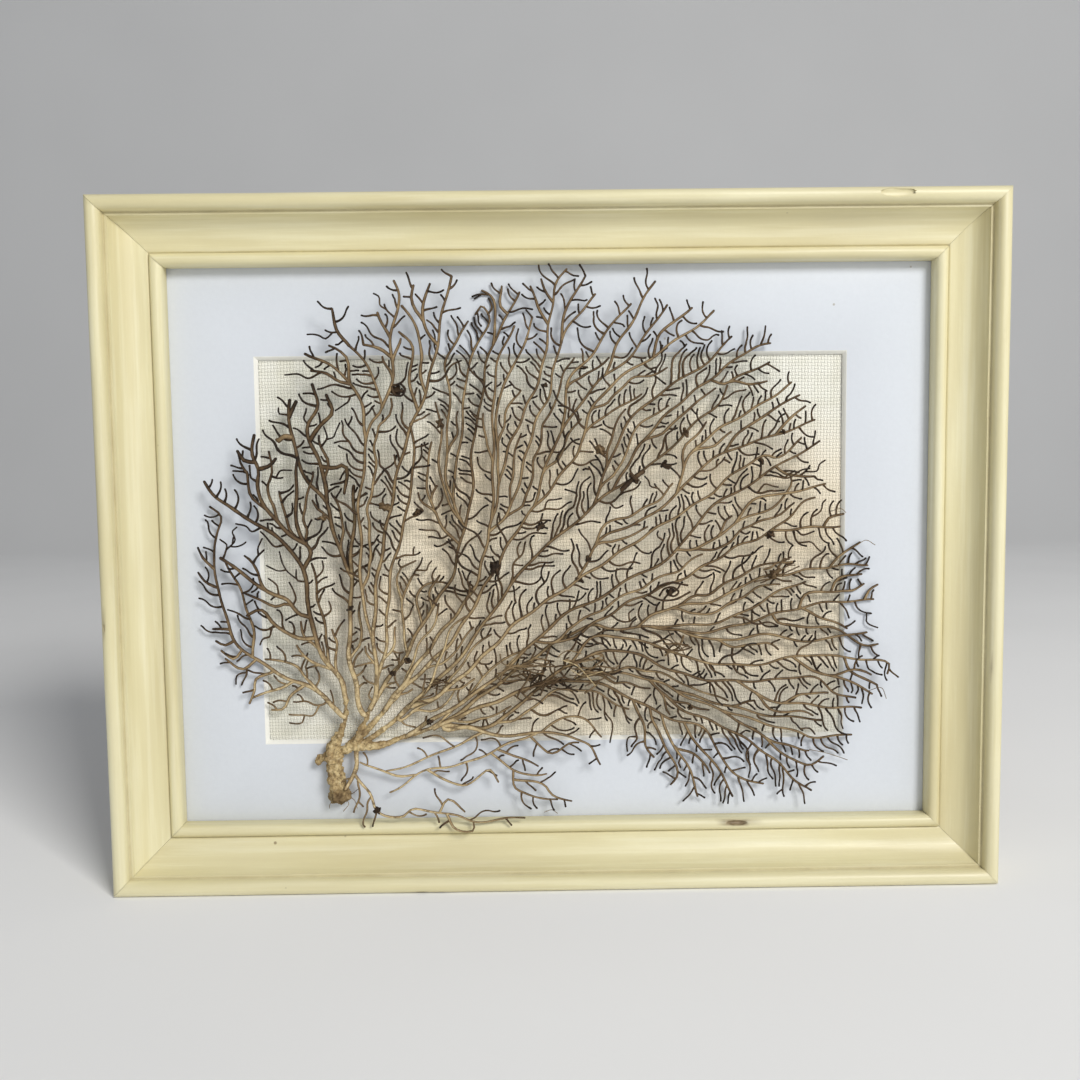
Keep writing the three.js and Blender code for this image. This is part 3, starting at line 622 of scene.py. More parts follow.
def build_linen():
    """The linen is stretched over its card, with a ripple of 0.07 mm either way."""
    low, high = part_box("linen")
    columns, rows = 260, 196
    xs = np.linspace(low.x, high.x, columns)
    zs = np.linspace(low.z, high.z, rows)
    grid_x, grid_z = np.meshgrid(xs, zs)
    ripple = np.sin(grid_x / MM / 7.3 + 1.3 * np.sin(grid_z / MM / 11)) * np.sin(grid_z / MM / 8.1 + 0.7)
    grid_y = (low.y + high.y) / 2 - 0.07 * MM * ripple
    spots = np.stack([grid_x, grid_y, grid_z], -1).reshape(-1, 3)
    index = np.arange(columns * rows).reshape(rows, columns)
    faces = np.stack([index[:-1, :-1], index[:-1, 1:], index[1:, 1:], index[1:, :-1]], -1).reshape(-1, 4)
    mesh = bpy.data.meshes.new("linen_cloth")
    mesh.from_pydata(spots.tolist(), [], faces.tolist())
    mesh.materials.append(linen_weave())
    cloth = put_in_scene("linen_cloth", mesh)
    select_only(cloth)
    bpy.ops.object.shade_smooth()
    finish_piece(cloth, "linen_cloth", "linen")


def build_boards():
    card = eased_copy("linen_card", 0.15)
    card.name = "backing_card"
    card.data.materials.append(grey_card())
    finish_piece(card, "backing_card", "linen_card")
    board = eased_copy("back_board", 0.35, 3)
    board.name = "hardboard_back"
    board.data.materials.append(hardboard())
    finish_piece(board, "hardboard", "back_board")


def build_tabs():
    """Thin steel tabs with rounded points."""
    steel = plated("tab_steel", (0.62, 0.63, 0.64), (0.50, 0.51, 0.52), (0.30, 0.26, 0.21), 0.34)
    for number in range(1, 9):
        node = f"board_tab_{number}"
        low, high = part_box(node)
        tab = box_between(f"tab_{number}", [v / MM for v in low], [v / MM for v in high])
        upright = (high.z - low.z) > (high.x - low.x)
        middle = (low + high) / 2
        axis = 2 if upright else 0
        aim = -math.copysign(1, (middle.z - CENTRE * MM) if upright else middle.x)
        select_only(tab)
        bpy.ops.object.mode_set(mode="EDIT")
        shape = bmesh.from_edit_mesh(tab.data)
        for edge in shape.edges:
            edge.select = abs(edge.verts[0].co[axis] - edge.verts[1].co[axis]) > 2 * MM
        bmesh.update_edit_mesh(tab.data)
        bpy.ops.mesh.subdivide(number_cuts=11)
        bpy.ops.mesh.select_all(action="DESELECT")
        shape = bmesh.from_edit_mesh(tab.data)
        for corner in shape.verts:
            along = (corner.co[axis] - middle[axis]) * aim / (6.5 * MM)
            other = 0 if upright else 2
            if along > 0.45:
                narrow = math.sqrt(max(0.0, 1 - ((along - 0.45) / 0.56) ** 2))
                corner.co[other] = middle[other] + (corner.co[other] - middle[other]) * max(0.12, narrow)
            if corner.co.y > middle.y:
                corner.co.y = high.y - (high.y - corner.co.y) * 0.5
        bmesh.update_edit_mesh(tab.data)
        bpy.ops.object.mode_set(mode="OBJECT")
        soften(tab, 0.09, 2, 40)
        tab.data.materials.append(steel)
        finish_piece(tab, "tab_steel", node)


def build_hanger():
    brass = plated("hanger_brass", (0.78, 0.57, 0.24), (0.62, 0.43, 0.17), (0.24, 0.15, 0.06), 0.3)
    plate = eased_copy("hanger_plate", 0.14)
    plate.name = "toothed_hanger"
    plate.data.materials.append(brass)
    finish_piece(plate, "hanger_brass", "hanger_plate")
    for side in ("left", "right"):
        low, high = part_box(f"hanger_rivet_{side}")
        middle = (low + high) / 2
        bpy.ops.object.select_all(action="DESELECT")
        bpy.ops.mesh.primitive_uv_sphere_add(segments=32, ring_count=16, radius=2.4 * MM, location=middle)
        rivet = bpy.context.active_object
        rivet.name = f"rivet_{side}"
        settle(rivet)
        foot = low.y
        for corner in rivet.data.vertices:
            rise = (corner.co.y - middle.y) / (2.4 * MM)
            corner.co.y = foot + max(0.0, rise) ** 0.8 * (high.y - low.y)
        select_only(rivet)
        bpy.ops.object.mode_set(mode="EDIT")
        bpy.ops.mesh.select_all(action="SELECT")
        bpy.ops.mesh.remove_doubles(threshold=0.00002)
        bpy.ops.mesh.normals_make_consistent(inside=False)
        bpy.ops.object.mode_set(mode="OBJECT")
        bpy.ops.object.shade_smooth_by_angle(angle=math.radians(50))
        rivet.data.materials.append(brass)
        finish_piece(rivet, "hanger_brass", f"hanger_rivet_{side}")


# ---- the sea fan: points are (x, z) from the middle of the picture ----
# The trunk's rows are (radius, points). A bough is (layer, millimetres between twigs, vigour, stems).
TRUNK = (
    (2.5, [(-54.8, -64), (-55.4, -60.5), (-56.2, -56), (-56.6, -51)]),
    (1.2, [(-57, -52), (-59, -53.2), (-60.4, -54.2)]),
    (1.5, [(-56.6, -52.5), (-56, -49.5), (-54.8, -47.6)]),
    (0.9, [(-55, -48), (-53.8, -45), (-53, -42), (-52.8, -38.6)]),
    (1.2, [(-56, -52), (-52, -50.6), (-47.5, -49.9), (-43.6, -49.6)]),
    (1, [(-53.4, -51), (-50.8, -48.4), (-48.6, -44.6), (-47.2, -41.4)]),
    (1, [(-52.4, -50.6), (-48.4, -46.8), (-44.2, -42.4), (-41, -38.4)]),
    (0.9, [(-50, -50.4), (-45, -47), (-40.4, -43.6), (-36.6, -40)]),
    (0.9, [(-51, -50.6), (-44.6, -50.4), (-39.8, -48.6), (-34, -46.8), (-28.6, -45)]),
)

BOUGHS = {
    "bough_far_left": (1, 4.4, 0.55, [
        [(-53.8, -42.6), (-56, -40), (-58.5, -37.2), (-68, -32.4), (-76.5, -27.2), (-80.8, -22.3),
         (-82.6, -17),
         (-83.8, -10.5), (-85.4, -4.5), (-84, 4.8), (-83.3, 8.4), (-85.8, 11)],
        [(-76.4, -27.2), (-76, -20), (-78, -12.5), (-79.2, -9), (-82.6, -2)],
        [(-59.6, -36.6), (-63, -32.5), (-65, -29.5), (-73.8, -28)],
        [(-71, -31.2), (-75.5, -33), (-76, -35.5), (-77.6, -38.8)],
        [(-66, -33.8), (-70, -35.5), (-77, -37.6)],
        [(-63.4, -34.8), (-67.5, -37.5), (-69, -40.5), (-72.6, -41.2)],
        [(-84.2, -9.6), (-87.8, -7.6), (-89.6, -5)],
        [(-85.4, -4.4), (-87.6, -2), (-89, 0.8)],
        [(-82, -19.8), (-86, -19.6)],
        [(-80.4, -23), (-83, -24), (-85.6, -22.4)],
        [(-78.6, -25), (-81, -27.6), (-84.6, -25)],
        [(-75.6, -28), (-79, -30.2), (-83.2, -27.6)],
    ]),
    "bough_left": (3, 3.3, 0.95, [
        [(-53, -38), (-54, -33), (-59.3, -24), (-61.2, -13.5), (-62.6, -3.5), (-69, 3.6), (-79.6, 10.6),
         (-83.5, 13.6), (-86, 17.4)],
        [(-60.8, -16.6), (-63.5, -15.8), (-66.5, -12.5), (-70.4, -10.8), (-80, -3.5), (-83, -1.2)],
        [(-62.4, -5), (-60.4, -0.8), (-62.5, 2.8), (-63.6, 9.6), (-63.2, 19.2), (-62.6, 23)],
        [(-61.8, 1.2), (-67.3, 5.8), (-71.6, 11.5), (-73, 16.5), (-72.7, 20), (-73.8, 24), (-73.3, 28.6)],
        [(-73.6, 22), (-76, 22.4), (-77.8, 24.6)],
        [(-72.9, 20), (-70, 21), (-68.2, 22.7)],
        [(-60.6, -22.4), (-65, -22), (-70, -18), (-73, -15), (-76.5, -16)],
    ]),
    "bough_left_upright": (2, 3.0, 0.95, [
        [(-48.6, -42), (-50, -38), (-50.4, -33.5), (-51.6, -26), (-51, -15.4), (-50.6, -3.8), (-49.6, 7.7),
         (-49.4, 16.4)],
        [(-50.9, -7), (-54.2, 2), (-56, 11), (-60.4, 16.5), (-62.7, 22), (-64.6, 28), (-65, 31),
         (-64.6, 37.2)],
        [(-64.8, 33), (-62.8, 37.4)],
        [(-56, 11.6), (-57, 20), (-60, 27), (-60.2, 31), (-58, 36), (-59, 41.6)],
        [(-60, 27), (-57, 31.5), (-54.4, 34.2), (-55.4, 38.4)],
        [(-57.2, 20.6), (-54, 20.4), (-51.6, 20.8), (-51.6, 14)],
    ]),
    "bough_upper_left": (4, 2.2, 0.9, [
        [(-47, -41), (-44.8, -36), (-45, -24), (-44, -9), (-41.9, 2), (-39.4, 14), (-35.8, 27), (-31.8, 36.4),
         (-29, 45), (-27, 55), (-25.2, 63), (-23.8, 67)],
        [(-45, -24), (-48, -8), (-47.6, 0), (-48, 10), (-46.3, 21), (-44.6, 31), (-41.6, 35), (-44.6, 44),
         (-47.5, 48.5), (-50, 51)],
        [(-44.6, -33), (-42.2, -25), (-41.4, -15), (-40.2, -5), (-37.4, 4), (-35.4, 13), (-34, 22),
         (-34.6, 31)],
        [(-45.6, 27), (-46.8, 36), (-49, 41), (-53, 44.5), (-60, 48.5)],
        [(-49, 41), (-52, 41.5), (-55.5, 43.5), (-59.4, 44.4)],
        [(-49, 50.4), (-52.4, 54), (-53.3, 59.6)],
        [(-41.8, 35), (-38.9, 41), (-39.2, 51), (-37.2, 59), (-37, 62.4), (-38.2, 66)],
        [(-39.1, 47), (-41.5, 49), (-46.4, 50.2)],
        [(-39.1, 52), (-41, 55.5), (-42.2, 58.6)],
        [(-32.8, 34), (-34.6, 40), (-34.2, 50), (-37, 53.4)],
        [(-31, 38.6), (-32.4, 43.5), (-31.6, 48), (-32.6, 54), (-36.8, 59.8)],
        [(-28, 50), (-30.8, 54), (-31.2, 58), (-29.2, 65.3)],
    ]),
    "bough_upright": (0, 2.1, 1, [
        [(-47, -41), (-43.4, -35), (-38.4, -28.6), (-34.6, -21.6), (-29.8, -13.8), (-25.6, -7.5), (-23.2, 2),
         (-20.2, 13), (-20, 25), (-17.6, 36), (-15.6, 47.5), (-10, 58.8), (-7.5, 63.8)],
        [(-22.4, 5), (-25, 13), (-22.8, 27), (-20.8, 44.2), (-18, 51.2), (-15.2, 57), (-17, 60.2),
         (-18.7, 58)],
        [(-24.8, 11), (-26.6, 17), (-26.2, 28), (-25.4, 40), (-26.4, 46.5), (-23, 52), (-20.4, 56.2)],
        [(-23.6, 0.5), (-28.2, 6), (-31, 13), (-31.4, 20), (-29.8, 27)],
        [(-22.6, 6), (-26.4, 12), (-28.2, 20), (-27.8, 30), (-28.8, 37)],
        [(-33.4, -19.5), (-34.6, -13), (-32.4, -9.6), (-28.8, -8.6), (-26.4, -9.2)],
        [(-30.6, -15.4), (-31.4, -11), (-29, -7)],
        [(-37.4, -26.8), (-38.4, -19), (-37.6, -11), (-35.4, -6.8), (-33.6, -7.4)],
        [(-14.2, 50.4), (-13.6, 56), (-14.6, 62), (-17.4, 64.2)],
        [(-10.6, 58), (-12.4, 60), (-12.2, 64.8)],
    ]),
    "bough_top": (2, 2.1, 1, [
        [(-43.4, -41.4), (-38.6, -34.8), (-33.2, -27.6), (-27.2, -19.8), (-22.4, -14), (-19, -8), (-17.2, -1),
         (-14.4, 10), (-11.4, 23), (-6.4, 34.4), (-2.4, 43.6), (-0.7, 53), (1, 63), (2.2, 66), (4.2, 69)],
        [(-45.4, -43.4), (-40, -37.6), (-36.6, -31), (-34.6, -25), (-31, -20.6), (-28.6, -14)],
        [(-15.2, 7), (-14.8, 15), (-14.4, 34.5), (-13.4, 44.8), (-9.2, 54.8)],
        [(-13.2, 16), (-13.8, 27), (-12.7, 38.5), (-8.8, 45.5), (-4.1, 57.2)],
        [(-15.9, 4), (-11, 9), (-7.6, 19), (-4.4, 30), (-0.6, 38), (1.7, 48.6), (5.3, 55.6), (11.6, 62.4)],
        [(2.6, 50.4), (3.2, 56), (5, 61), (8.9, 67.2)],
        [(-0.6, 55), (-2.6, 58.5), (-5, 64.2)],
        [(0.4, 60), (-1.4, 63), (-2, 66)],
    ]),
    "bough_upper_right": (3, 2.1, 1, [
        [(-41, -38.4), (-35.4, -32.6), (-29.6, -27.4), (-24, -20.8), (-18.6, -12), (-13.6, -3.5), (-8, 5.8),
         (-1.2, 13.8), (5.6, 22.6), (10, 30.4), (18, 35), (22, 37.8)],
        [(-4.4, 10), (-0.6, 23), (5, 32.5), (11, 40.2), (19.4, 46.8), (24, 53), (28.8, 59.8)],
        [(2.6, 28.6), (4.6, 41.5), (10.4, 48), (16.4, 56.5), (20, 60.2)],
        [(13.4, 42.4), (16, 49), (19, 54), (25.4, 64.9)],
        [(7.4, 25.8), (10.4, 35), (15.4, 40.4), (25.8, 47.3), (35, 53.5), (40.2, 57.6)],
        [(24.8, 46.6), (26.4, 51.4), (30, 55), (35, 59)],
    ]),
    "bough_crest_right": (1, 2.1, 1, [
        [(-39.6, -42.8), (-33.4, -36.8), (-26.6, -31), (-20, -22.6), (-13.4, -13.4), (-4.6, -2.4), (4.6, 5),
         (12.7, 12.2), (22.4, 18.6), (28, 22.8), (36, 30.6), (41.5, 35), (44.2, 40.2)],
        [(-42.6, -46.4), (-36, -41.8), (-30.4, -38.2), (-25.4, -32.4), (-21.4, -26.6), (-16, -22)],
        [(10.4, 10.4), (15.8, 24.6), (21, 33), (29.6, 39.6), (39.2, 45.8), (45, 51.6)],
        [(15, 14), (22.7, 26), (30.8, 34.6), (41, 42.3), (49.6, 48.5), (55.2, 50)],
        [(39.6, 41.4), (43, 40.2), (47, 42), (54.4, 45.3)],
    ]),
    "bough_diagonal": (4, 2.1, 1, [
        [(-37, -40.4), (-30.4, -37.6), (-22.6, -31.4), (-15.4, -24.6), (-9.4, -18.6), (-2, -13.4), (6.2, -8),
         (15, -2.4), (25, 4.2), (37.7, 12), (46, 18.8), (52.6, 22), (55.4, 21.6), (61.6, 26.2)],
        [(-40.4, -43.4), (-34.6, -37.8), (-30.8, -33), (-28.4, -27), (-26, -20.6), (-21.6, -16.4)],
        [(5.4, -8.6), (13, 3), (20.4, 5.6), (29.6, 12), (36.5, 19.2), (44, 23.6), (54, 26.8), (64.8, 30.6)],
        [(30.6, 13.2), (33.4, 21.6), (40, 28), (47.4, 32.4), (53.4, 36), (59.4, 40.2)],
        [(42.6, 23), (45.4, 27), (53, 32.6), (60.9, 36.8)],
        [(55, 27.2), (58.6, 31.4), (62.6, 34)],
    ]),
    "bough_right": (2, 2.2, 1, [
        [(-37.8, -48), (-29, -42.4), (-19.4, -36.4), (-11, -29.6), (-4.4, -23.4), (2.4, -17.4), (10.8, -13.2),
         (20.4, -7.6), (30, -2.4), (38.8, 8.8), (46.5, 13.5), (55, 18.8), (67.2, 25.8)],
        [(-36, -47.4), (-29.4, -44.6), (-23, -38.4), (-17.4, -32.6), (-11.6, -27.4), (-6, -25.4)],
        [(31, -1.2), (36, -1), (45.8, 5.4), (56, 10), (59.9, 15), (59.2, 17.4)],
        [(45.4, 5.2), (50, 10.8), (55.4, 12.5), (63, 13.5), (68.8, 15)],
        [(-4.4, -24.4), (1.9, -24.2), (10.8, -19.2), (20.4, -13.5), (33.8, -7.7), (45.8, -0.8), (54.6, 3.2),
         (62.7, 10.2), (65.6, 11.6)],
        [(54.6, 3.2), (61.5, 3.8), (72, 4.4)],
        [(67.4, 4.3), (69, 6.4), (72.7, 7.6)],
        [(56, 18.9), (58.6, 17.2), (66, 17)],
    ]),
    "bough_right_middle": (0, 2.4, 0.85, [
        [(9, -20.4), (14.2, -21.2), (28, -20.8), (41.5, -20), (51, -15.8), (58.8, -11.6), (64, -9.9)],
        [(21, -21), (27, -17), (42.3, -13.8), (50, -9.6), (60.4, -7.7), (70, -6.2), (80.4, -5.6)],
        [(70, -6.2), (73.5, -2.5), (78, -0.2)],
        [(24, -21), (37.3, -22.5), (47.3, -20.8), (58.8, -17.3), (70, -15.2), (82, -14.8)],
        [(62, -16.6), (63.8, -13.3), (73, -12.3), (76.5, -12.5), (79.6, -10.4)],
        [(70.4, -12.6), (72, -9.6), (78.8, -7.7)],
        [(79, -14.9), (80.4, -12.3), (82.3, -10.8)],
        [(55.6, -18.4), (57.3, -20.6), (70, -21.7), (74.6, -23.7), (79.6, -26.3), (82.7, -26.3)],
        [(32, -21.8), (37.7, -24.2), (45.4, -24.4), (53, -23.3), (65, -25), (74.6, -23.7), (80.4, -22.8)],
        [(62, -16.4), (67, -18.5), (74.6, -22)],
    ]),
    "bough_right_lower": (3, 2.3, 1, [
        [(-31, -46), (-24.6, -42.8), (-14.6, -38.6), (-3, -33.8), (6, -28.6), (17, -26.2), (29.6, -31.5),
         (39.2, -34), (54.6, -34.2), (65.4, -33.8), (70.8, -37.7), (76.6, -39.6)],
        [(3.6, -30), (10, -22.8), (23.8, -24.6), (35, -28.8), (49.2, -30.4), (62, -28.2), (75, -29),
         (84.2, -30.6), (84, -33)],
        [(73, -28.9), (74.4, -32), (82, -36.5)],
        [(46, -34), (52.7, -38.8), (66, -40.8), (77.3, -41.7)],
        [(60, -28.6), (64, -31.4), (72, -34), (80.6, -38.2)],
    ]),
    "bough_lower_right": (1, 2.4, 0.9, [
        [(-18.4, -46), (-12.7, -43.5), (-4.6, -36.5), (5.4, -34.2), (14.6, -36.5), (28.5, -44), (38.5, -47.7),
         (45, -58.5), (53.8, -62)],
        [(4, -34.4), (13.5, -32.3), (25.8, -34.8), (34, -39), (47, -43.8), (62.3, -48.5), (66, -49.8),
         (75.8, -49.2)],
        [(24, -34.6), (31.5, -41.4), (45, -47.7), (54.6, -54.2), (61.5, -60.8), (65.4, -63.8)],
        [(42, -42), (52.7, -49.2), (60, -55), (65, -57.1), (68.9, -54.2)],
        [(31, -37.4), (43.8, -41.2), (54.6, -43.8), (68.6, -45.2)],
        [(20, -39.4), (22.4, -46), (23, -51), (25.8, -54.6)],
        [(24, -41.6), (25.2, -46), (30.6, -56.2), (31, -59.4), (29.6, -61.8)],
        [(27.4, -43.4), (28.4, -48), (33.4, -56), (36.6, -64.6)],
        [(32.6, -45.6), (37.3, -52.7), (42.7, -58.8), (45.3, -65)],
    ]),
    "bough_low_trailing": (2, 4.2, 0.55, [
        [(-28, -46.2), (-22, -45.8), (-12, -48.2), (-2.4, -46.8), (5.5, -49.2), (9, -50.6), (11.3, -55.6)],
        [(-18, -46.6), (-25.4, -50.4), (-35.8, -54.7), (-43, -56.6)],
        [(-4, -47), (-12.7, -50.4), (-25, -55.6), (-32, -56.2), (-38.5, -60.4), (-42.3, -62)],
        [(-16.6, -52.2), (-10.8, -56.7), (-4.6, -58.6), (-1.7, -58)],
        [(-11, -56.8), (-10.6, -61.4), (-7.3, -63), (-2.3, -64.6), (0.4, -65)],
        [(-10.8, -59.2), (-3, -61), (-0.8, -63.3), (4, -65)],
        [(-14.6, -51.4), (-8.5, -53.8), (-4.6, -56.2)],
        [(-6.5, -48.2), (-1.3, -52.5), (3.5, -50), (6.5, -50.2)],
        [(-32.6, -56.4), (-27, -60), (-23, -60.6), (-16.8, -56.4), (-14.8, -59.8)],
        [(-3.5, -47), (1.5, -43.4), (7.7, -44.2), (12.3, -48.8)],
        [(-35.4, -58), (-40.4, -58), (-47.3, -55.4), (-50, -53.8)],
    ]),
    "bough_lowest_spray": (4, 5.2, 0.5, [
        [(-50.6, -52.8), (-50.6, -55.2), (-53.4, -61)],
        [(-51.2, -57), (-47.4, -62), (-45.2, -66.2), (-38.8, -67.9), (-35.8, -65.8), (-25.4, -67.7),
         (-20.8, -69.2), (-8, -68.4)],
        [(-29.4, -66.6), (-27.3, -63.5), (-23, -66.5)],
        [(-27.4, -67), (-25.8, -70.6), (-20.8, -71.4), (-20.6, -69.4)],
    ]),
}


# ---- how the fan grows ----
STEP = 0.6              # a branch is laid in steps of this length
FOOT_X, FOOT_Z = -50, -48   # the place that the fan spreads from
LOWEST, HIGHEST = 0.45, 8.4  # limits of a twig's height
STOUT = {"bough_left": 1.45, "bough_left_upright": 1.5, "bough_upper_left": 1.15, "bough_low_trailing": 0.85,
         "bough_lowest_spray": 0.85}


def layer_height(number):
    return 0.9 + 1.3 * number


def even_path(points, step=STEP):
    """A smooth line through the points, cut into even steps."""
    p = np.array(points, float)
    p = np.vstack([2 * p[0] - p[1], p, 2 * p[-1] - p[-2]])
    knot = np.concatenate([[0], np.cumsum(np.sqrt(np.linalg.norm(np.diff(p, axis=0), axis=1)))])
    line = []
    for i in range(1, len(p) - 2):
        t = np.linspace(knot[i], knot[i + 1], 16, endpoint=False)[:, None]
        k0, k1, k2, k3 = knot[i - 1:i + 3]
        a1 = ((k1 - t) * p[i - 1] + (t - k0) * p[i]) / (k1 - k0)
        a2 = ((k2 - t) * p[i] + (t - k1) * p[i + 1]) / (k2 - k1)
        a3 = ((k3 - t) * p[i + 1] + (t - k2) * p[i + 2]) / (k3 - k2)
        b1 = ((k2 - t) * a1 + (t - k0) * a2) / (k2 - k0)
        b2 = ((k3 - t) * a2 + (t - k1) * a3) / (k3 - k1)
        line.append(((k2 - t) * b1 + (t - k1) * b2) / (k2 - k1))
    line = np.vstack([*line, p[-2:-1]])
    run = np.concatenate([[0], np.cumsum(np.linalg.norm(np.diff(line, axis=0), axis=1))])
    marks = np.linspace(0, run[-1], max(3, round(run[-1] / step)))
    return np.stack([np.interp(marks, run, line[:, k]) for k in range(line.shape[1])], 1)


class Branch:
    """One stem or twig: its line as (x, z, height), and its radius and tone at each point of it."""

    def __init__(self, bough, rank, parent, line, radius, tone):
        self.bough, self.rank, self.parent = bough, rank, parent
        self.line, self.radius, self.tone = line, radius, tone


class Fan:
    """All branches, with a map of where they lie, so that a new twig can tell when it comes near another."""

    CELL = 1.6

    def __init__(self):
        self.branches = []
        self.map = {}

    def mark(self, x, z, height, number):
        self.map.setdefault((int(x // self.CELL), int(z // self.CELL)), []).append((x, z, height, number))

    def add(self, branch):
        self.branches.append(branch)
        number = len(self.branches) - 1
        for x, z, height in branch.line:
            self.mark(x, z, height, number)
        return number

    def crowded(self, x, z, height, own, parent, young, room=0.0):
        """True if a branch that isn't its own parent is too near this place.

        With room given, branches of any layer count; without it, only those at about the same height.
        """
        least = (room or 0.85) ** 2
        column, row = int(x // self.CELL), int(z // self.CELL)
        for i in (column - 1, column, column + 1):
            for j in (row - 1, row, row + 1):
                for px, pz, ph, number in self.map.get((i, j), ()):
                    if number == own or (young and number == parent):
                        continue
                    gap = (px - x) ** 2 + (pz - z) ** 2
                    if number < 0:
                        if gap < 2.6:
                            return True
                    elif gap < least and (room or abs(ph - height) < 0.7):
                        return True
        return False

    def nearest(self, x, z, reach):
        """The gap to the nearest branch within reach, and that branch's number."""
        best, found, span = reach * reach, None, int(reach // self.CELL) + 1
        column, row = int(x // self.CELL), int(z // self.CELL)
        for i in range(column - span, column + span + 1):
            for j in range(row - span, row + span + 1):
                for px, pz, _, number in self.map.get((i, j), ()):
                    gap = (px - x) ** 2 + (pz - z) ** 2
                    if gap < best:
                        best, found = gap, number
        return math.sqrt(best), found


def smooth_share(value):
    value = np.clip(value, 0, 1)
    return value * value * (3 - 2 * value)


def from_foot(x, z):
    return math.hypot(x - FOOT_X, z - FOOT_Z)


def waver(run, rough, short, long):
    """An even wave along a line, its length and start drawn by chance."""
    return np.sin(run / rough.uniform(short, long) + rough.uniform(0, 6))


def tip_share(left, reach):
    """Rises from 0 to 1 over the last stretch of a line."""
    return np.clip(1 - left / reach, 0, 1)


def age_tone(x, z):
    """Pale near the holdfast, browner outwards, darkest on the far left."""
    tone = -0.04 + 0.62 * smooth_share((from_foot(x, z) + 14) / 80)
    return float(tone + 0.25 * smooth_share((-42 - x) / 20) * smooth_share((z + 38) / 24))


def trunk_end(place):
    """Where a bough leaves the trunk: the nearest point of a limb's middle line."""
    spots = np.vstack([even_path(points, 0.4) for _, points in TRUNK])
    gaps = np.linalg.norm(spots - place, axis=1)
    return [tuple(spots[int(np.argmin(gaps))])] if gaps.min() > 0.5 else []


def lay_stems(fan, rough):
    """The main stems and their forks, drawn through the points of each bough."""
    for bough, (layer, _, _, stems) in BOUGHS.items():
        own = []
        for rank, points in enumerate(stems):
            path = even_path(points if rank else [*trunk_end(points[0]), *points])
            run = np.arange(len(path)) * STEP
            parent, start, root = None, 2.8, 0.68
            if rank:
                near = [(np.min(np.sum((fan.branches[n].line[:, :2] - path[0]) ** 2, 1)), n) for n in own]
                parent = min(near)[1]
                line = fan.branches[parent].line
                fork = int(np.argmin(np.sum((line[:, :2] - path[0]) ** 2, 1)))
                path = path + (line[fork, :2] - path[0]) * np.exp(-run / 2.5)[:, None]
                start, root = line[fork, 2], fan.branches[parent].radius[fork] * 0.85
            sway = 0.4 * waver(run, rough, 5, 9) * smooth_share(run / 12)
            sway += 0.25 * waver(run, rough, 2, 4) * smooth_share(run / 12)
            height = layer_height(layer) + rough.uniform(-0.25, 0.25) + sway
            height = start + (height - start) * smooth_share(run / 14)
            wobble = rough.uniform(0.18, 0.32) * waver(run, rough, 1.6, 2.6)
            slope = np.gradient(path, axis=0)
            slope /= np.linalg.norm(slope, axis=1)[:, None]
            path = path + slope[:, ::-1] * [1, -1] * (wobble * smooth_share(run / 6))[:, None]
            left = 1 - run / run[-1]
            radius = (0.27 + (0.20 if rank == 0 else 0.13) * left ** 0.8) * STOUT.get(bough, 1.0)
            radius = np.maximum(radius, radius + (root - radius) * np.exp(-run / (15 if rank == 0 else 3)))
            shade = rough.uniform(-0.07, 0.09)
            tone = np.array([age_tone(x, z) for x, z in path]) + shade + 0.3 * tip_share(left * run[-1], 4)
            line = np.column_stack([path, np.maximum(height, 0.5)])
            own.append(fan.add(Branch(bough, 0, parent, line, radius, tone)))


def lay_companions(fan, rough):
    """Thinner stems that leave a stem near its root and run beside it, until they meet another."""
    for number, stem in enumerate(list(fan.branches)):
        vigour = BOUGHS[stem.bough][2]
        whole = len(stem.line) * STEP
        if vigour < 0.7 or whole < 15:
            continue
        for offset in (-2.5, 2.5, -4.9, 4.9) if stem.parent is None else (-2.4, 2.4):
            first = int(rough.uniform(4, 16) / STEP)
            last = int(whole * rough.uniform(0.6, 0.97) / STEP)
            line = stem.line[first:last].copy()
            run = np.arange(len(line)) * STEP
            if len(line) < 14:
                continue
            ahead = np.gradient(line[:, :2], axis=0)
            ahead /= np.linalg.norm(ahead, axis=1)[:, None]
            aside = offset * smooth_share(run / (2.2 * abs(offset)))
            aside *= 1 + 0.14 * waver(run, rough, 3, 8)
            aside += 0.22 * waver(run, rough, 1.1, 2.2) * smooth_share(run / 3)
            aside += math.copysign(1.6, offset) * smooth_share((run - run[-1] + 9) / 9)
            line[:, :2] += ahead[:, ::-1] * [1, -1] * aside[:, None]
            line[:, 2] += rough.uniform(-0.6, 0.6) * smooth_share(run / 8)
            shut, end = 0, len(line)
            for i, (x, z, height) in enumerate(line):
                near_root = 1.75 - 0.35 * smooth_share((from_foot(x, z) - 20) / 40)
                met = run[i] > 4 and fan.crowded(x, z, height, -5, number, run[i] < 8, near_root)
                shut = shut + 1 if met else 0
                if shut > 4 or not -69 < z < 68:
                    end = i - 3
                    break
            if end * STEP < 6:
                continue
            line, run = line[:end], run[:end]
            line[:, 2] = np.clip(line[:, 2], 0.5, 8.3)
            left = 1 - run / run[-1]
            radius = (0.24 + 0.14 * left ** 0.7) * min(1.15, STOUT.get(stem.bough, 1.0))
            shade = rough.uniform(-0.08, 0.14)
            tone = np.array([age_tone(x, z) for x, z, _ in line]) + shade + 0.3 * tip_share(left * run[-1], 4)
            fan.add(Branch(stem.bough, 0, number, line, radius, tone))


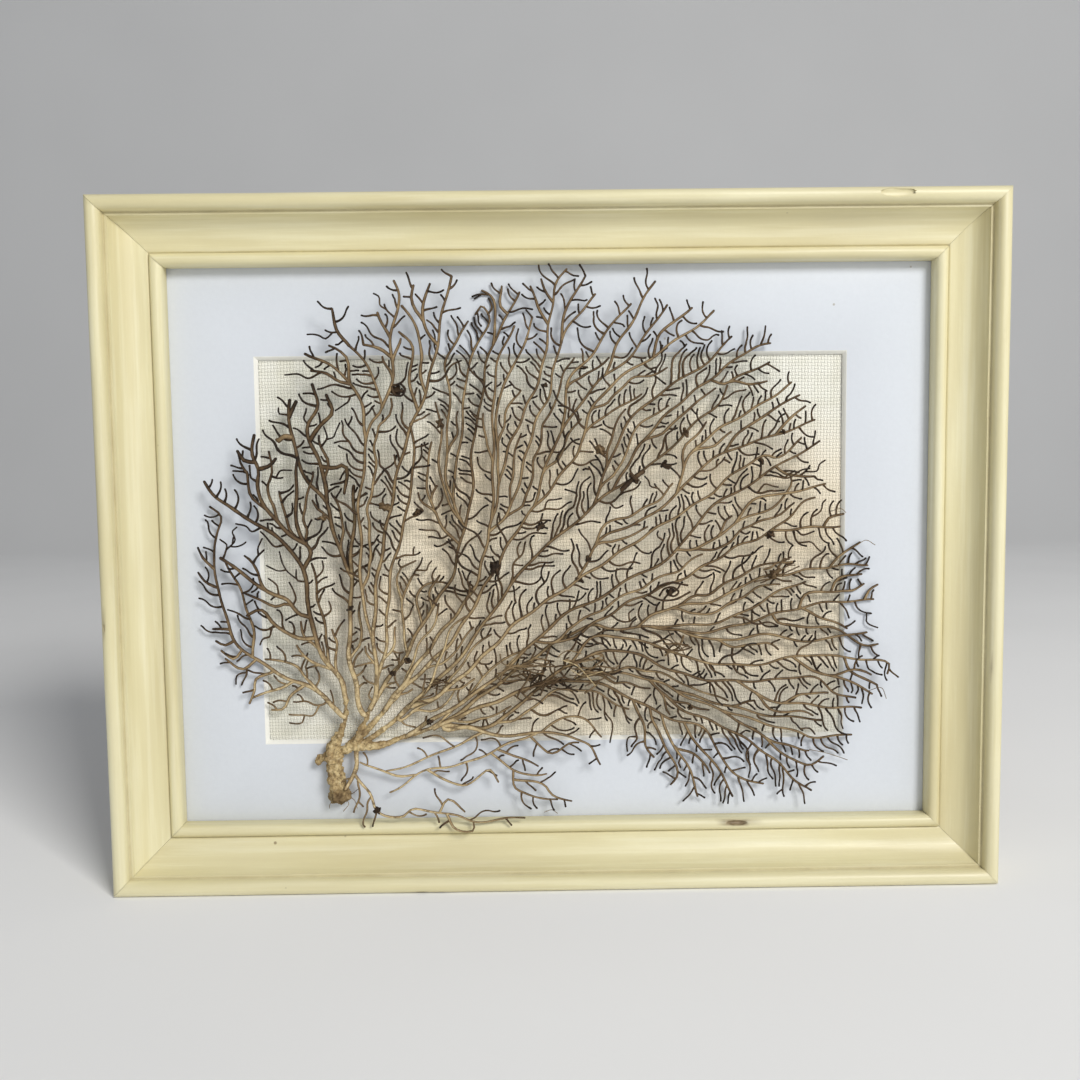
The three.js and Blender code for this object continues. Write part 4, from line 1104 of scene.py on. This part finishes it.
def fan_edge(fan):
    """How far the fan reaches from the holdfast in every direction, three degrees at a time."""
    reach = np.zeros(120)
    for branch in fan.branches:
        if branch.line is None:
            continue
        far = np.hypot(branch.line[:, 0] - FOOT_X, branch.line[:, 1] - FOOT_Z)
        turn = np.degrees(np.arctan2(branch.line[:, 1] - FOOT_Z, branch.line[:, 0] - FOOT_X)) % 360
        np.maximum.at(reach, (turn // 3).astype(int), far)
    return np.minimum(reach, (np.roll(reach, 1) + np.roll(reach, -1)) / 2 + 3)


def fill_the_bare_places(fan, rough, least, share):
    """A fine twig leaves the nearest stem and bends over most spots inside the fan that are still bare."""
    edge = fan_edge(fan)
    spots = [(x + rough.uniform(-1, 1), z + rough.uniform(-1, 1))
             for x in np.arange(-86, 84, 2.0) for z in np.arange(-48, 64, 2.0)]
    rough.shuffle(spots)
    for x, z in spots:
        far, turn = from_foot(x, z), math.degrees(math.atan2(z - FOOT_Z, x - FOOT_X)) % 360
        if far > edge[int(turn // 3)] - 2.5 or rough.random() > (share if x > -48 else 0.5 * share):
            continue
        if x < 12 and z < -44 or z > 44 and rough.random() < 0.8:
            continue
        gap, parent = fan.nearest(x, z, 6.5)
        if gap < least or parent is None or parent < 0 or fan.branches[parent].line is None:
            continue
        stem = fan.branches[parent]
        at = int(np.argmin(np.sum((stem.line[:, :2] - (x, z)) ** 2, 1)))
        at -= round(rough.uniform(0.8, 3.0) / STEP)
        if at < 2:
            continue
        root, ahead = stem.line[at], stem.line[at + 1] - stem.line[at - 1]
        ahead = ahead[:2] / max(1e-6, float(np.linalg.norm(ahead[:2])))
        across = np.array((x, z)) - root[:2]
        side = math.copysign(1, float(ahead[0] * across[1] - ahead[1] * across[0]))
        bow = side * rough.uniform(0.1, 0.35) * float(np.linalg.norm(across))
        aside = np.array((-ahead[1], ahead[0]))
        elbow = root[:2] + 0.5 * across + bow * aside
        tail = ahead * rough.uniform(1.0, 4.0) + aside * side * rough.uniform(-0.4, 0.9)
        path = even_path([root[:2], elbow, (x, z), np.array((x, z)) + tail])
        run = np.arange(len(path)) * STEP
        path = path + 0.16 * waver(run, rough, 0.8, 1.5)[:, None] * smooth_share(run / 2)[:, None]
        height = np.clip(root[2] + rough.uniform(-0.7, 0.7) * smooth_share(run / 4), LOWEST, HIGHEST)
        end = len(path)
        for i in range(2, len(path)):
            here = path[i]
            met = fan.crowded(here[0], here[1], height[i], -5, parent, run[i] < 2.4, 0.75)
            if met or not -70 < here[1] < 69:
                end = i
                break
        if end * STEP < 2.4:
            continue
        line, run = np.column_stack([path, height])[:end], run[:end]
        left = run[-1] - run
        radius = 0.21 + (min(0.28, stem.radius[at] * 0.85) - 0.21) * np.clip(left / 6, 0, 1)
        tone = age_tone(x, z) + rough.uniform(0.12, 0.34) + 0.26 * tip_share(left, 2)
        fan.add(Branch(stem.bough, 2, parent, line, radius * (1 + 0.35 * np.exp(-run / 0.6)), tone))


def keep_the_gap_open(fan):
    """The long slanting hole beside the middle stems, where the linen shows."""
    for t in np.linspace(0, 1, 14):
        fan.mark(-33.5 + 8.5 * t, 2.5 - 10 * t, 3, -1)


class Shoot:
    """A twig that is still growing. A runner stays beside its parent and buds like a stem."""

    def __init__(self, bough, rank, parent, place, heading, side, runner, reach, radius, tone, habit, rough):
        self.bough, self.rank, self.parent, self.runner = bough, rank, parent, runner
        self.points = [place]
        self.heading, self.reach, self.radius, self.tone, self.way = heading, reach, radius, tone, side
        start, final = (32, 3) if runner else habit
        self.turn = side * math.radians(start + rough.uniform(-8, 8))
        self.settle_at = side * math.radians(final + rough.uniform(-5, 5))
        self.angle = heading + self.turn
        self.bend = rough.uniform(2.4, 4.4)
        self.curl = rough.uniform(-0.04, 0.04) * (0.3 if runner else 1)
        self.lift = rough.uniform(-0.2, 0.2) * (0.4 if runner else 1)
        self.waver, self.swing = rough.uniform(0, 6.3), rough.uniform(0.9, 1.7)
        self.room = 0.95 if runner else 0.82 if rough.random() < 0.85 else 0.0
        self.side = rough.choice((-1, 1))
        self.next_bud = rough.uniform(3, 5) if runner else rough.uniform(4, 16)


def bud_along(fan, rough):
    """Twigs along every stem, most of them on its fuller side, and now and then a runner."""
    shoots = []
    for number, stem in enumerate(list(fan.branches)):
        _, spacing, vigour, _ = BOUGHS[stem.bough]
        whole = len(stem.line) * STEP
        side = rough.choice((-1, 1))
        habit = rough.uniform(56, 76), rough.uniform(16, 40)
        rise = stem.line[-1] - stem.line[0]
        slope = math.degrees(math.atan2(rise[1], rise[0]))
        fuller = 1 if 25 < slope < 88 else -1 if slope < 5 else rough.choice((-1, 1))
        run = rough.uniform(2.0, 3.5) if stem.parent is not None else rough.uniform(6, 9)
        while run < whole - 0.8:
            at = min(len(stem.line) - 2, int(run / STEP))
            place, ahead = stem.line[at], stem.line[at + 1] - stem.line[at - 1]
            heading = math.atan2(ahead[1], ahead[0])
            rest = whole - run
            runner = vigour > 0.8 and rest > 16 and rough.random() < 0.05
            reach = (2.8 + min(0.42 * rest, 8.0)) * rough.uniform(0.5, 1.3) * max(0.7, vigour)
            if runner:
                reach = min(0.85 * rest, 42) * rough.uniform(0.55, 1.0)
            radius = min(0.40 if runner else 0.29, stem.radius[at] * 0.9) * rough.uniform(0.86, 1.08)
            radius *= STOUT.get(stem.bough, 1.0) ** 0.7
            tone = age_tone(place[0], place[1]) + rough.uniform(-0.04, 0.14) + (0 if runner else 0.2)
            shoots.append(Shoot(stem.bough, 1, number, tuple(place), heading, side, runner,
                                max(1.6, reach), radius, tone, habit, rough))
            side = fuller if rough.random() < 0.72 else -fuller
            old = smooth_share((from_foot(place[0], place[1]) - 12) / 34) if place[0] > -46 else 1
            crest = 0.3 if place[1] > 46 else 0
            run += (0.82 + 1.1 * (1 - old) + crest) * spacing * rough.uniform(0.75, 1.25)
    rough.shuffle(shoots)
    return shoots


def free_step(fan, shoot, run, want):
    """The shoot's next point: it leans aside when another branch is in front, or None when it is shut in."""
    ahead = shoot.angle + max(-0.2, min(0.2, want - shoot.angle))
    x, z, height = shoot.points[-1]
    height = min(HIGHEST, max(LOWEST, height + shoot.lift * STEP * math.exp(-run / 7)))
    for lean in (0, -0.2, 0.2, -0.42, 0.42):
        angle = ahead + lean * shoot.way
        nx, nz = x + STEP * math.cos(angle), z + STEP * math.sin(angle)
        if abs(nx) > 91 or not -70.5 < nz < 69.5:
            continue
        if not fan.crowded(nx, nz, height, shoot.number, shoot.parent, run < 2.6, shoot.room):
            shoot.angle = angle
            return nx, nz, height
    return None


def grow(fan, shoots, rough):
    """Every shoot grows a step at a time, buds as it goes, and stops where another branch is in its way."""
    while shoots:
        going = []
        for shoot in shoots:
            if len(shoot.points) == 1:
                shoot.number = len(fan.branches)
                fan.branches.append(Branch(shoot.bough, shoot.rank, shoot.parent, None, None, None))
            run = (len(shoot.points) - 1) * STEP
            bend = (shoot.turn - shoot.settle_at) * math.exp(-run / shoot.bend)
            want = shoot.heading + shoot.settle_at + bend
            want += shoot.curl * run + 0.42 * math.sin(run / shoot.swing + shoot.waver)
            place = free_step(fan, shoot, run, want) if run < shoot.reach else None
            if place is None:
                close_shoot(fan, shoot)
                continue
            shoot.points.append(place)
            fan.mark(*place, shoot.number)
            going.append(shoot)
            rest = shoot.reach - run
            if run > shoot.next_bud and rest > 1.4 and shoot.rank < 3:
                reach = (1.0 + min(0.44 * rest, 9.0 if shoot.runner else 4.0)) * rough.uniform(0.6, 1.2)
                going.append(Shoot(
                    shoot.bough, shoot.rank + 1, shoot.number, place, shoot.angle, shoot.side, False, reach,
                    min(0.25, shoot.radius * 0.92), shoot.tone + rough.uniform(0, 0.1),
                    (rough.uniform(45, 75), rough.uniform(10, 40)), rough))
                shoot.side = -shoot.side
                shoot.next_bud = run + (rough.uniform(1.7, 2.7) if shoot.runner else rough.uniform(3.5, 6.5))
        shoots = going


def close_shoot(fan, shoot):
    """A shoot that has stopped becomes a twig: thinner and darker to its tip."""
    branch = fan.branches[shoot.number]
    if len(shoot.points) < 4:
        return
    branch.line = np.array(shoot.points)
    run = np.arange(len(branch.line)) * STEP
    left = run[-1] - run
    slim = np.clip(left / (18 if shoot.runner else 6), 0, 1)
    swell = 1 + 0.35 * np.exp(-run / 0.6) + 0.2 * np.exp(-left / 0.5)
    branch.radius = (0.215 + (shoot.radius - 0.215) * slim) * swell
    branch.tone = shoot.tone + 0.10 * run / (run[-1] + 4) + 0.26 * tip_share(left, 2.2)


# ---- knots, tangles and loose fibres: (x, z, size, tone) ----
KNOTS = (
    (-14.7, -5.0, 1.7, 1.0), (8.5, -3.0, 1.1, 0.95), (6.5, -8.0, 1.0, 0.95), (-38.0, 39.0, 1.4, 1.0),
    (-41.5, 10.5, 1.3, 0.55), (33.0, 28.0, 1.2, 0.8), (54.0, 2.5, 1.0, 0.9), (55.0, -7.0, 1.2, 0.85),
    (57.0, 28.0, 0.8, 0.8), (12.0, 24.0, 1.3, 0.75), (28.0, 20.0, 1.2, 0.95), (-36.5, -28.0, 1.0, 0.95),
    (-40.5, -31.0, 0.8, 0.9), (-31.5, -43.5, 0.8, 0.95), (-45.2, -66.0, 0.9, 1.0), (-33.6, 9.2, 1.0, 0.9),
    (-3.4, 5.2, 1.2, 0.9), (51.5, 21.0, 1.0, 0.95), (-27.5, 31.0, 1.1, 0.9), (20.0, 17.0, 1.3, 0.95),
    (29.0, -11.4, 1.15, 1.0), (-50.6, -14.6, 0.8, 0.95), (-1.5, 40.0, 0.7, 0.9), (34.0, -41.0, 0.7, 0.9),
    (-57.0, 8.0, 1.0, 0.6),
)
TANGLES = (
    ((-4.5, -31.0), (9.0, 4.4), 26, 0.66), ((9.0, -30.5), (7.0, 3.6), 16, 0.6),
    ((31.0, -25.5), (3.4, 1.8), 8, 0.7),
    ((-29.5, -34.4), (1.8, 1.8), 6, 0.85), ((56.0, -7.0), (4.0, 2.4), 8, 0.7),
    ((-1.0, -34.0), (6.0, 1.4), 12, 0.95),
)


def add_strand(fan, bough, points, heights, radius, tone, steps=0.5):
    """A loose piece of stem or fibre drawn through points."""
    rows = [(x, z, h) for (x, z), h in zip(points, heights)]
    line = even_path(rows, steps)
    fan.branches.append(Branch(bough, 4, None, line, np.full(len(line), radius), np.full(len(line), tone)))


def add_knots(fan, rough):
    """Each knot is a handful of short thick ends grown through each other."""
    for x, z, size, tone in KNOTS:
        for _ in range(6):
            turn, reach = rough.uniform(0, 6.3), size * rough.uniform(0.35, 0.95)
            spots = [(x + t * reach * math.cos(turn) + rough.uniform(-0.3, 0.3) * size,
                      z + t * reach * math.sin(turn) + rough.uniform(-0.3, 0.3) * size)
                     for t in (-1, -0.3, 0.4, 1)]
            middle = rough.uniform(4.8, 6.6)
            heights = [middle + rough.uniform(-0.5, 0.5) for _ in spots]
            add_strand(fan, "bough_right", spots, heights, size * rough.uniform(0.24, 0.40),
                       tone - rough.uniform(0, 0.15), 0.35)


def add_tangles(fan, rough):
    """Matted dark fibre lying over the stems."""
    for (x, z), (wide, high), count, tone in TANGLES:
        for _ in range(count):
            cx, cz = x + wide * rough.gauss(0, 0.42), z + high * rough.gauss(0, 0.42)
            turn, reach = rough.gauss(0.15, 0.55), rough.uniform(1.6, 5.4)
            bow = rough.uniform(-1.4, 1.4)
            spots = []
            for t in (-1, -0.5, 0, 0.5, 1):
                along, off = t * reach, bow * (1 - t * t) + rough.uniform(-0.4, 0.4)
                spots.append((cx + along * math.cos(turn) - off * math.sin(turn),
                              cz + along * math.sin(turn) + off * math.cos(turn)))
            middle = rough.uniform(3.4, 6.8)
            heights = [middle + rough.uniform(-0.5, 0.5) for _ in spots]
            add_strand(fan, "bough_right_lower", spots, heights, rough.uniform(0.10, 0.27),
                       tone - rough.uniform(0, 0.3))


def add_loose_pieces(fan, rough):
    """Curled stems round a dark knot, broken thick ends, pale fibres and the hair-thin ones at the edges."""
    lids = (((23.6, -12.6), (26, -10.3), (29, -9.2), (33.4, -9.9)),
            ((23.8, -12.4), (27, -13.6), (30.4, -13.4), (34, -11.6)),
            ((26.4, -12.6), (27.6, -10.8), (29.8, -10.4), (31.2, -11.6), (30, -12.6), (28.4, -12)))
    for lid in lids:
        add_strand(fan, "bough_right", lid, [4.9 + 0.15 * i for i in range(len(lid))], 0.27, 0.85)
    single = (  # bough, points, heights, radius, tone
        ("bough_crest_right", [(17, 14), (19.6, 16.6), (22.4, 18.6)], (5.4, 5.9, 5.5), 0.62, 0.9),
        ("bough_left_upright", [(-64.6, 28), (-66, 28.3), (-67.6, 27.3)], (3.5, 3.9, 4.1), 0.62, 0.5),
        ("bough_left_upright", [(-67.0, 27.6), (-67.7, 27.0), (-68.1, 27.5)], (4, 4.2, 4), 0.5, 0.6),
        ("bough_upper_left", [(-39.2, 40.4), (-38.4, 38.2), (-36.6, 37.8), (-35.8, 39.4), (-36.8, 40.6)],
         (6.6, 7, 7.2, 7, 6.8), 0.3, 0.98),
        ("bough_right_lower", [(2, -28), (5.5, -29.4), (8, -32), (10, -34.5)], (7.4, 7.6, 7.5, 7.3), 0.14,
         -0.35),
        ("bough_right_lower", [(4, -30.5), (7, -32), (12, -31)], (7.2, 7.4, 7.0), 0.10, -0.3),
    )
    for row in single:
        add_strand(fan, *row)
    hairs = (((65, -53), (70, -54.2), (75, -56)), ((76.5, -0.6), (79, 0.6), (81, -0.6)),
             ((80, -38), (83, -37), (84.6, -40)),
             ((-3, -68.2), (-1, -67.8), (0.4, -68.6)), ((-53.5, -63), (-51.5, -64.5), (-50.8, -66.5)),
             ((-54, -63.6), (-53, -65.5), (-54.2, -67)), ((-55, -63), (-57.5, -65), (-58, -66.6)),
             ((-54.6, -62.4), (-52.2, -62.6), (-50.4, -61.6)), ((70, 8), (72.6, 8.6), (73.6, 7.6)))
    for points in hairs:
        add_strand(fan, "bough_lowest_spray" if points[0][0] < 0 else "bough_right_lower", points,
                   [rough.uniform(1.5, 3.5) for _ in points], 0.085, 0.45)


# ---- from lines to a mesh ----
def tube(line, radius, sides, knobbly, rough):
    """Corners, faces and front share of a round tube along a line of (x, z, height), with a rounded tip."""
    radius = radius * (1 + knobbly * np.array([rough.uniform(-1, 1) for _ in radius]))
    ahead = np.gradient(line, axis=0)
    ahead /= np.linalg.norm(ahead, axis=1)[:, None]
    first = np.cross(ahead, (0, 0, 1))
    first /= np.maximum(np.linalg.norm(first, axis=1), 1e-6)[:, None]
    second = np.cross(ahead, first)
    tip, end = ahead[-1] * radius[-1], line[-1]
    line = np.vstack([line, end + 0.55 * tip])
    radius = np.append(radius, 0.78 * radius[-1])
    first, second = np.vstack([first, first[-1:]]), np.vstack([second, second[-1:]])
    turn = np.arange(sides) * 2 * math.pi / sides
    rings = line[:, None] + radius[:, None, None] * (
        np.cos(turn)[None, :, None] * first[:, None] + np.sin(turn)[None, :, None] * second[:, None])
    corners = np.vstack([rings.reshape(-1, 3), line[:1] - 0.5 * ahead[0] * radius[0], [end + tip]])
    count = len(line)
    index = np.arange(count * sides).reshape(count, sides)
    after = np.roll(index, -1, 1)
    walls = np.stack([index[:-1], after[:-1], after[1:], index[1:]], -1).reshape(-1, 4).tolist()
    start, stop = count * sides, count * sides + 1
    caps = [(start, after[0][k], index[0][k]) for k in range(sides)]
    caps += [(stop, index[-1][k], after[-1][k]) for k in range(sides)]
    front = np.maximum(0, np.sin(turn)[None, :] * second[:, 2:3])
    return corners, walls, caps, front


def tubes_mesh(name, branches, rough):
    """All the tubes of one bough, joined in one mesh, with the tone of each stem as an attribute."""
    corners, faces, tones, base = [], [], [], 0
    for branch in branches:
        if branch.line is None:
            continue
        thin = branch.rank > 0
        pick = slice(None) if thin or len(branch.line) < 8 else slice(None, None, 2)
        line, radius, tone = branch.line[pick], branch.radius[pick], branch.tone[pick]
        sides = 6 if thin else 10
        spots, walls, caps, front = tube(line, radius, sides, 0.10, rough)
        corners.append(spots)
        faces += [tuple(base + i for i in face) for face in walls]
        faces += [tuple(base + int(i) for i in face) for face in caps]
        # Painted shade along the sides of each tube and a painted highlight along its front, added to the
        # tone.
        painted_shading = 0.24 * (0.7 - front) if thin else 0.7 * (0.66 - front)
        around = np.append(tone, tone[-1] + 0.05)[:, None] + painted_shading
        tones += [around.ravel(), [tone[0]], [tone[-1] + 0.05]]
        base += len(spots)
    spots = np.vstack(corners)
    placed = np.column_stack([spots[:, 0], FACE - spots[:, 2], CENTRE + spots[:, 1]]) * MM
    mesh = bpy.data.meshes.new(name)
    mesh.from_pydata(placed.tolist(), [], faces)
    piece = put_in_scene(name, mesh)
    put_attribute(piece, "tone", np.concatenate(tones))
    select_only(piece)
    bpy.ops.object.mode_set(mode="EDIT")
    bpy.ops.mesh.select_all(action="SELECT")
    bpy.ops.mesh.normals_make_consistent(inside=False)
    bpy.ops.object.mode_set(mode="OBJECT")
    bpy.ops.object.shade_smooth()
    return piece


def build_fan():
    rough = random.Random(41)
    fan = Fan()
    lay_stems(fan, rough)
    keep_the_gap_open(fan)
    lay_companions(fan, rough)
    grow(fan, bud_along(fan, rough), rough)
    fill_the_bare_places(fan, rough, 1.9, 0.85)
    fill_the_bare_places(fan, rough, 1.75, 0.6)
    add_knots(fan, rough)
    add_tangles(fan, rough)
    add_loose_pieces(fan, rough)
    horn = fan_stem()
    for bough in BOUGHS:
        own = [branch for branch in fan.branches if branch.bough == bough]
        piece = tubes_mesh(bough.replace("bough", "fan"), own, rough)
        piece.data.materials.append(horn)
        finish_piece(piece, "fan_stem", bough)


# ---- the holdfast ----
def crust_height(spot):
    """Lumps, grains and pits of the crust, in millimetres."""
    big = noise.fractal(spot * 0.55, 1.0, 2.0, 3)
    small = noise.fractal(spot * 2.1, 0.8, 2.1, 3)
    return 0.55 * big + 0.22 * small - 0.5 * max(0.0, noise.noise(spot * 0.9 + Vector((7, 3, 1))) - 0.35)


def build_holdfast():
    """The holdfast and the first limbs, run together under one crust."""
    rough = random.Random(5)
    limbs = []
    for number, (thick, points) in enumerate(TRUNK):
        path = even_path(points, 0.4)
        share = np.linspace(0, 1, len(path))
        height = max(2.7, thick + 0.3) + 0.3 * np.sin(share * 5 + number)
        taper = 1 - (0.42 if number > 2 else 0.12) * share
        radius = thick * taper * (1 + 0.08 * np.sin(share * 17 + number))
        limbs.append(Branch("trunk", 5, None, np.column_stack([path, height]), radius, np.zeros(len(path))))
    trunk = tubes_mesh("holdfast_and_limbs", limbs, rough)
    apply_modifier(trunk, "REMESH", mode="VOXEL", voxel_size=0.2 * MM, use_smooth_shade=True)
    apply_modifier(trunk, "SMOOTH", factor=0.5, iterations=4)
    normals = [corner.normal.copy() for corner in trunk.data.vertices]
    foot = (FACE - 0.12) * MM
    tone = []
    for corner, normal in zip(trunk.data.vertices, normals):
        spot = corner.co / MM
        out_along = smooth_share((spot.x + 54) / 9)
        corner.co += normal * crust_height(spot) * (1.0 - 0.72 * float(out_along)) * MM
        corner.co.y = min(corner.co.y, foot)
        low = smooth_share((CENTRE - 60.8 - spot.z) / 2.5) * (0.6 + 0.4 * noise.noise(spot * 0.8))
        limb = 0.55 * max(0.0, noise.noise(spot * 0.6)) * smooth_share((spot.z - CENTRE + 46) / 3)
        tone.append(float(min(1, max(low, limb))))
    if "tone" in trunk.data.attributes:
        trunk.data.attributes.remove(trunk.data.attributes["tone"])
    put_attribute(trunk, "tone", tone)
    trunk.data.materials.append(holdfast_crust())
    select_only(trunk)
    bpy.ops.object.shade_smooth()
    finish_piece(trunk, "holdfast_crust", "holdfast_and_trunk")


place_camera()
light_the_room()
lay_floor()
build_frame()
build_window_mount()
build_boards()
build_linen()
build_tabs()
build_hanger()
build_holdfast()
build_fan()
